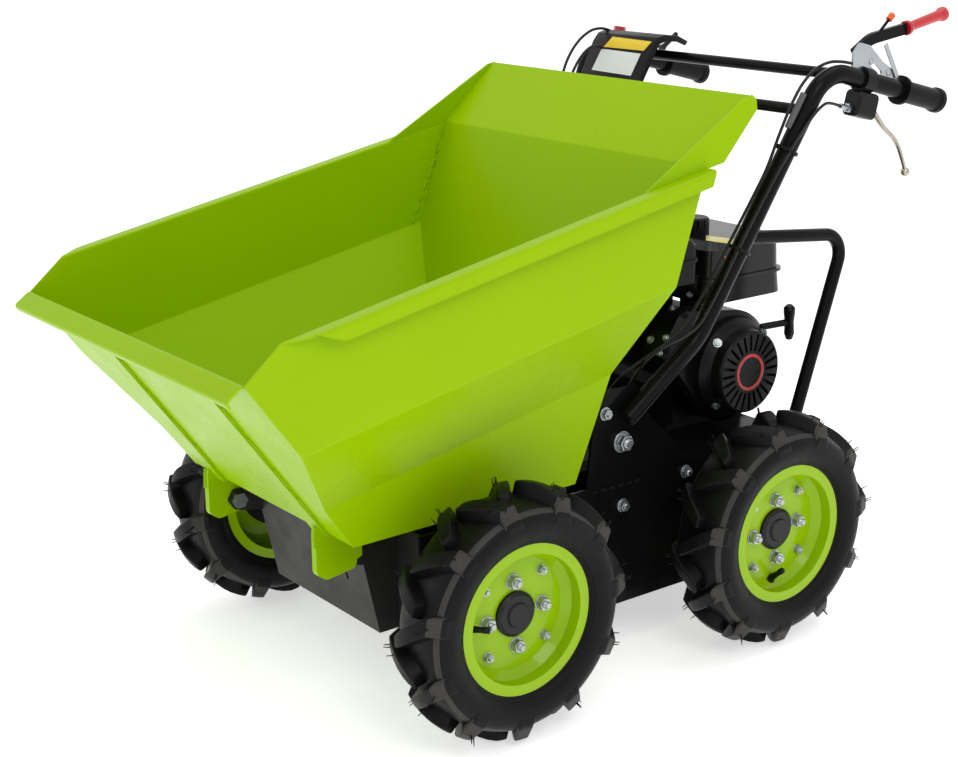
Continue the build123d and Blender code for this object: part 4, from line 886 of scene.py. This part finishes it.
# Cable sleeve: shrunk tubing that holds two cables together in front of the left tube. It is a
# little narrower at its ends.
# Heat-shrink tubing: grey, dull and soft looking.
sleeve_tubing = coating(
    "grey_sleeve", ("#4A4B4C", "#565758"), rough=(0.45, 0.6), drift_mm=20, grain_mm=1.0,
    grain_height_mm=0.02,
)
sleeve_middle = tube_low.lerp(tube_high, 0.83) + Vector((0.0, -0.0185, 0.0092))
sleeve_section = [
    (-0.030, 0.0036), (-0.029, 0.0052), (-0.010, 0.0056), (0.010, 0.0054), (0.029, 0.0052),
    (0.030, 0.0036), (-0.030, 0.0036),
]
sleeve = turned("cable_sleeve", sleeve_section, sleeve_middle, tube_run, 24)
settle(sleeve, "chassis", sleeve_tubing)

# Clutch hand lever: a forged blade that sweeps down and back in one long curve and ends in a ball.
# It follows the solid's line with a smooth spline, tapers to the ball, and hinges in a black housing.
# Bare aluminium of the solid: bright, finely brushed.
bright_aluminium = coating(
    "bright_aluminium", ("#D4D5D6", "#C2C3C5"), rough=(0.25, 0.35), drift_mm=30, grain_mm=0.5,
    grain_height_mm=0.006, metallic=1.0,
)
# Forged lever: warm nickel-like shine, a little uneven.
forged_lever = coating(
    "forged_lever", ("#B9B1A4", "#9E968A"), rough=(0.18, 0.3), drift_mm=20, grain_mm=1.5,
    grain_height_mm=0.01, metallic=1.0,
)
dress(black_plastic, "clutch_lever_housing")
dress(bright_aluminium, "clutch_lever")
lever_x = 280
lever_points = ((776, 851), (794, 833), (817, 808), (851, 786), (871, 751), (880, 729))
lever_line = [at(lever_x, y, z) for y, z in lever_points]
lever_radius = 0.0042
lever_taper = 0.09
lever_flatness = 1.6
ball_radius = 0.0075
curve = bpy.data.curves.new("lever_line", "CURVE")
curve.dimensions = "3D"
spline = curve.splines.new("NURBS")
spline.points.add(len(lever_line) - 1)
for count, (point, place) in enumerate(zip(spline.points, lever_line)):
    point.co = (*place, 1)
    point.radius = 1.0 - lever_taper * count
spline.order_u = 3
spline.use_endpoint_u = True
spline.resolution_u = 12
curve.bevel_depth = lever_radius
curve.bevel_resolution = 5
curve.use_fill_caps = True
lever_curve = bpy.data.objects.new("lever_curve", curve)
bpy.context.scene.collection.objects.link(lever_curve)
alone(lever_curve)
bpy.ops.object.convert(target="MESH")
blade = bpy.context.object
for vertex in blade.data.vertices:
    vertex.co.x = lever_x / 1000 + (vertex.co.x - lever_x / 1000) * lever_flatness
bpy.ops.mesh.primitive_uv_sphere_add(
    segments=24, ring_count=14, radius=ball_radius, location=lever_line[-1]
)
ball = bpy.context.object
bpy.ops.object.transform_apply(location=True)
hand_lever = joined([blade, ball], "clutch_hand_lever")
bpy.ops.object.shade_smooth_by_angle(angle=radians(50))
settle(hand_lever, "chassis", forged_lever)
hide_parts("clutch_lever")

bpy.context.scene.view_settings.view_transform = "Standard"
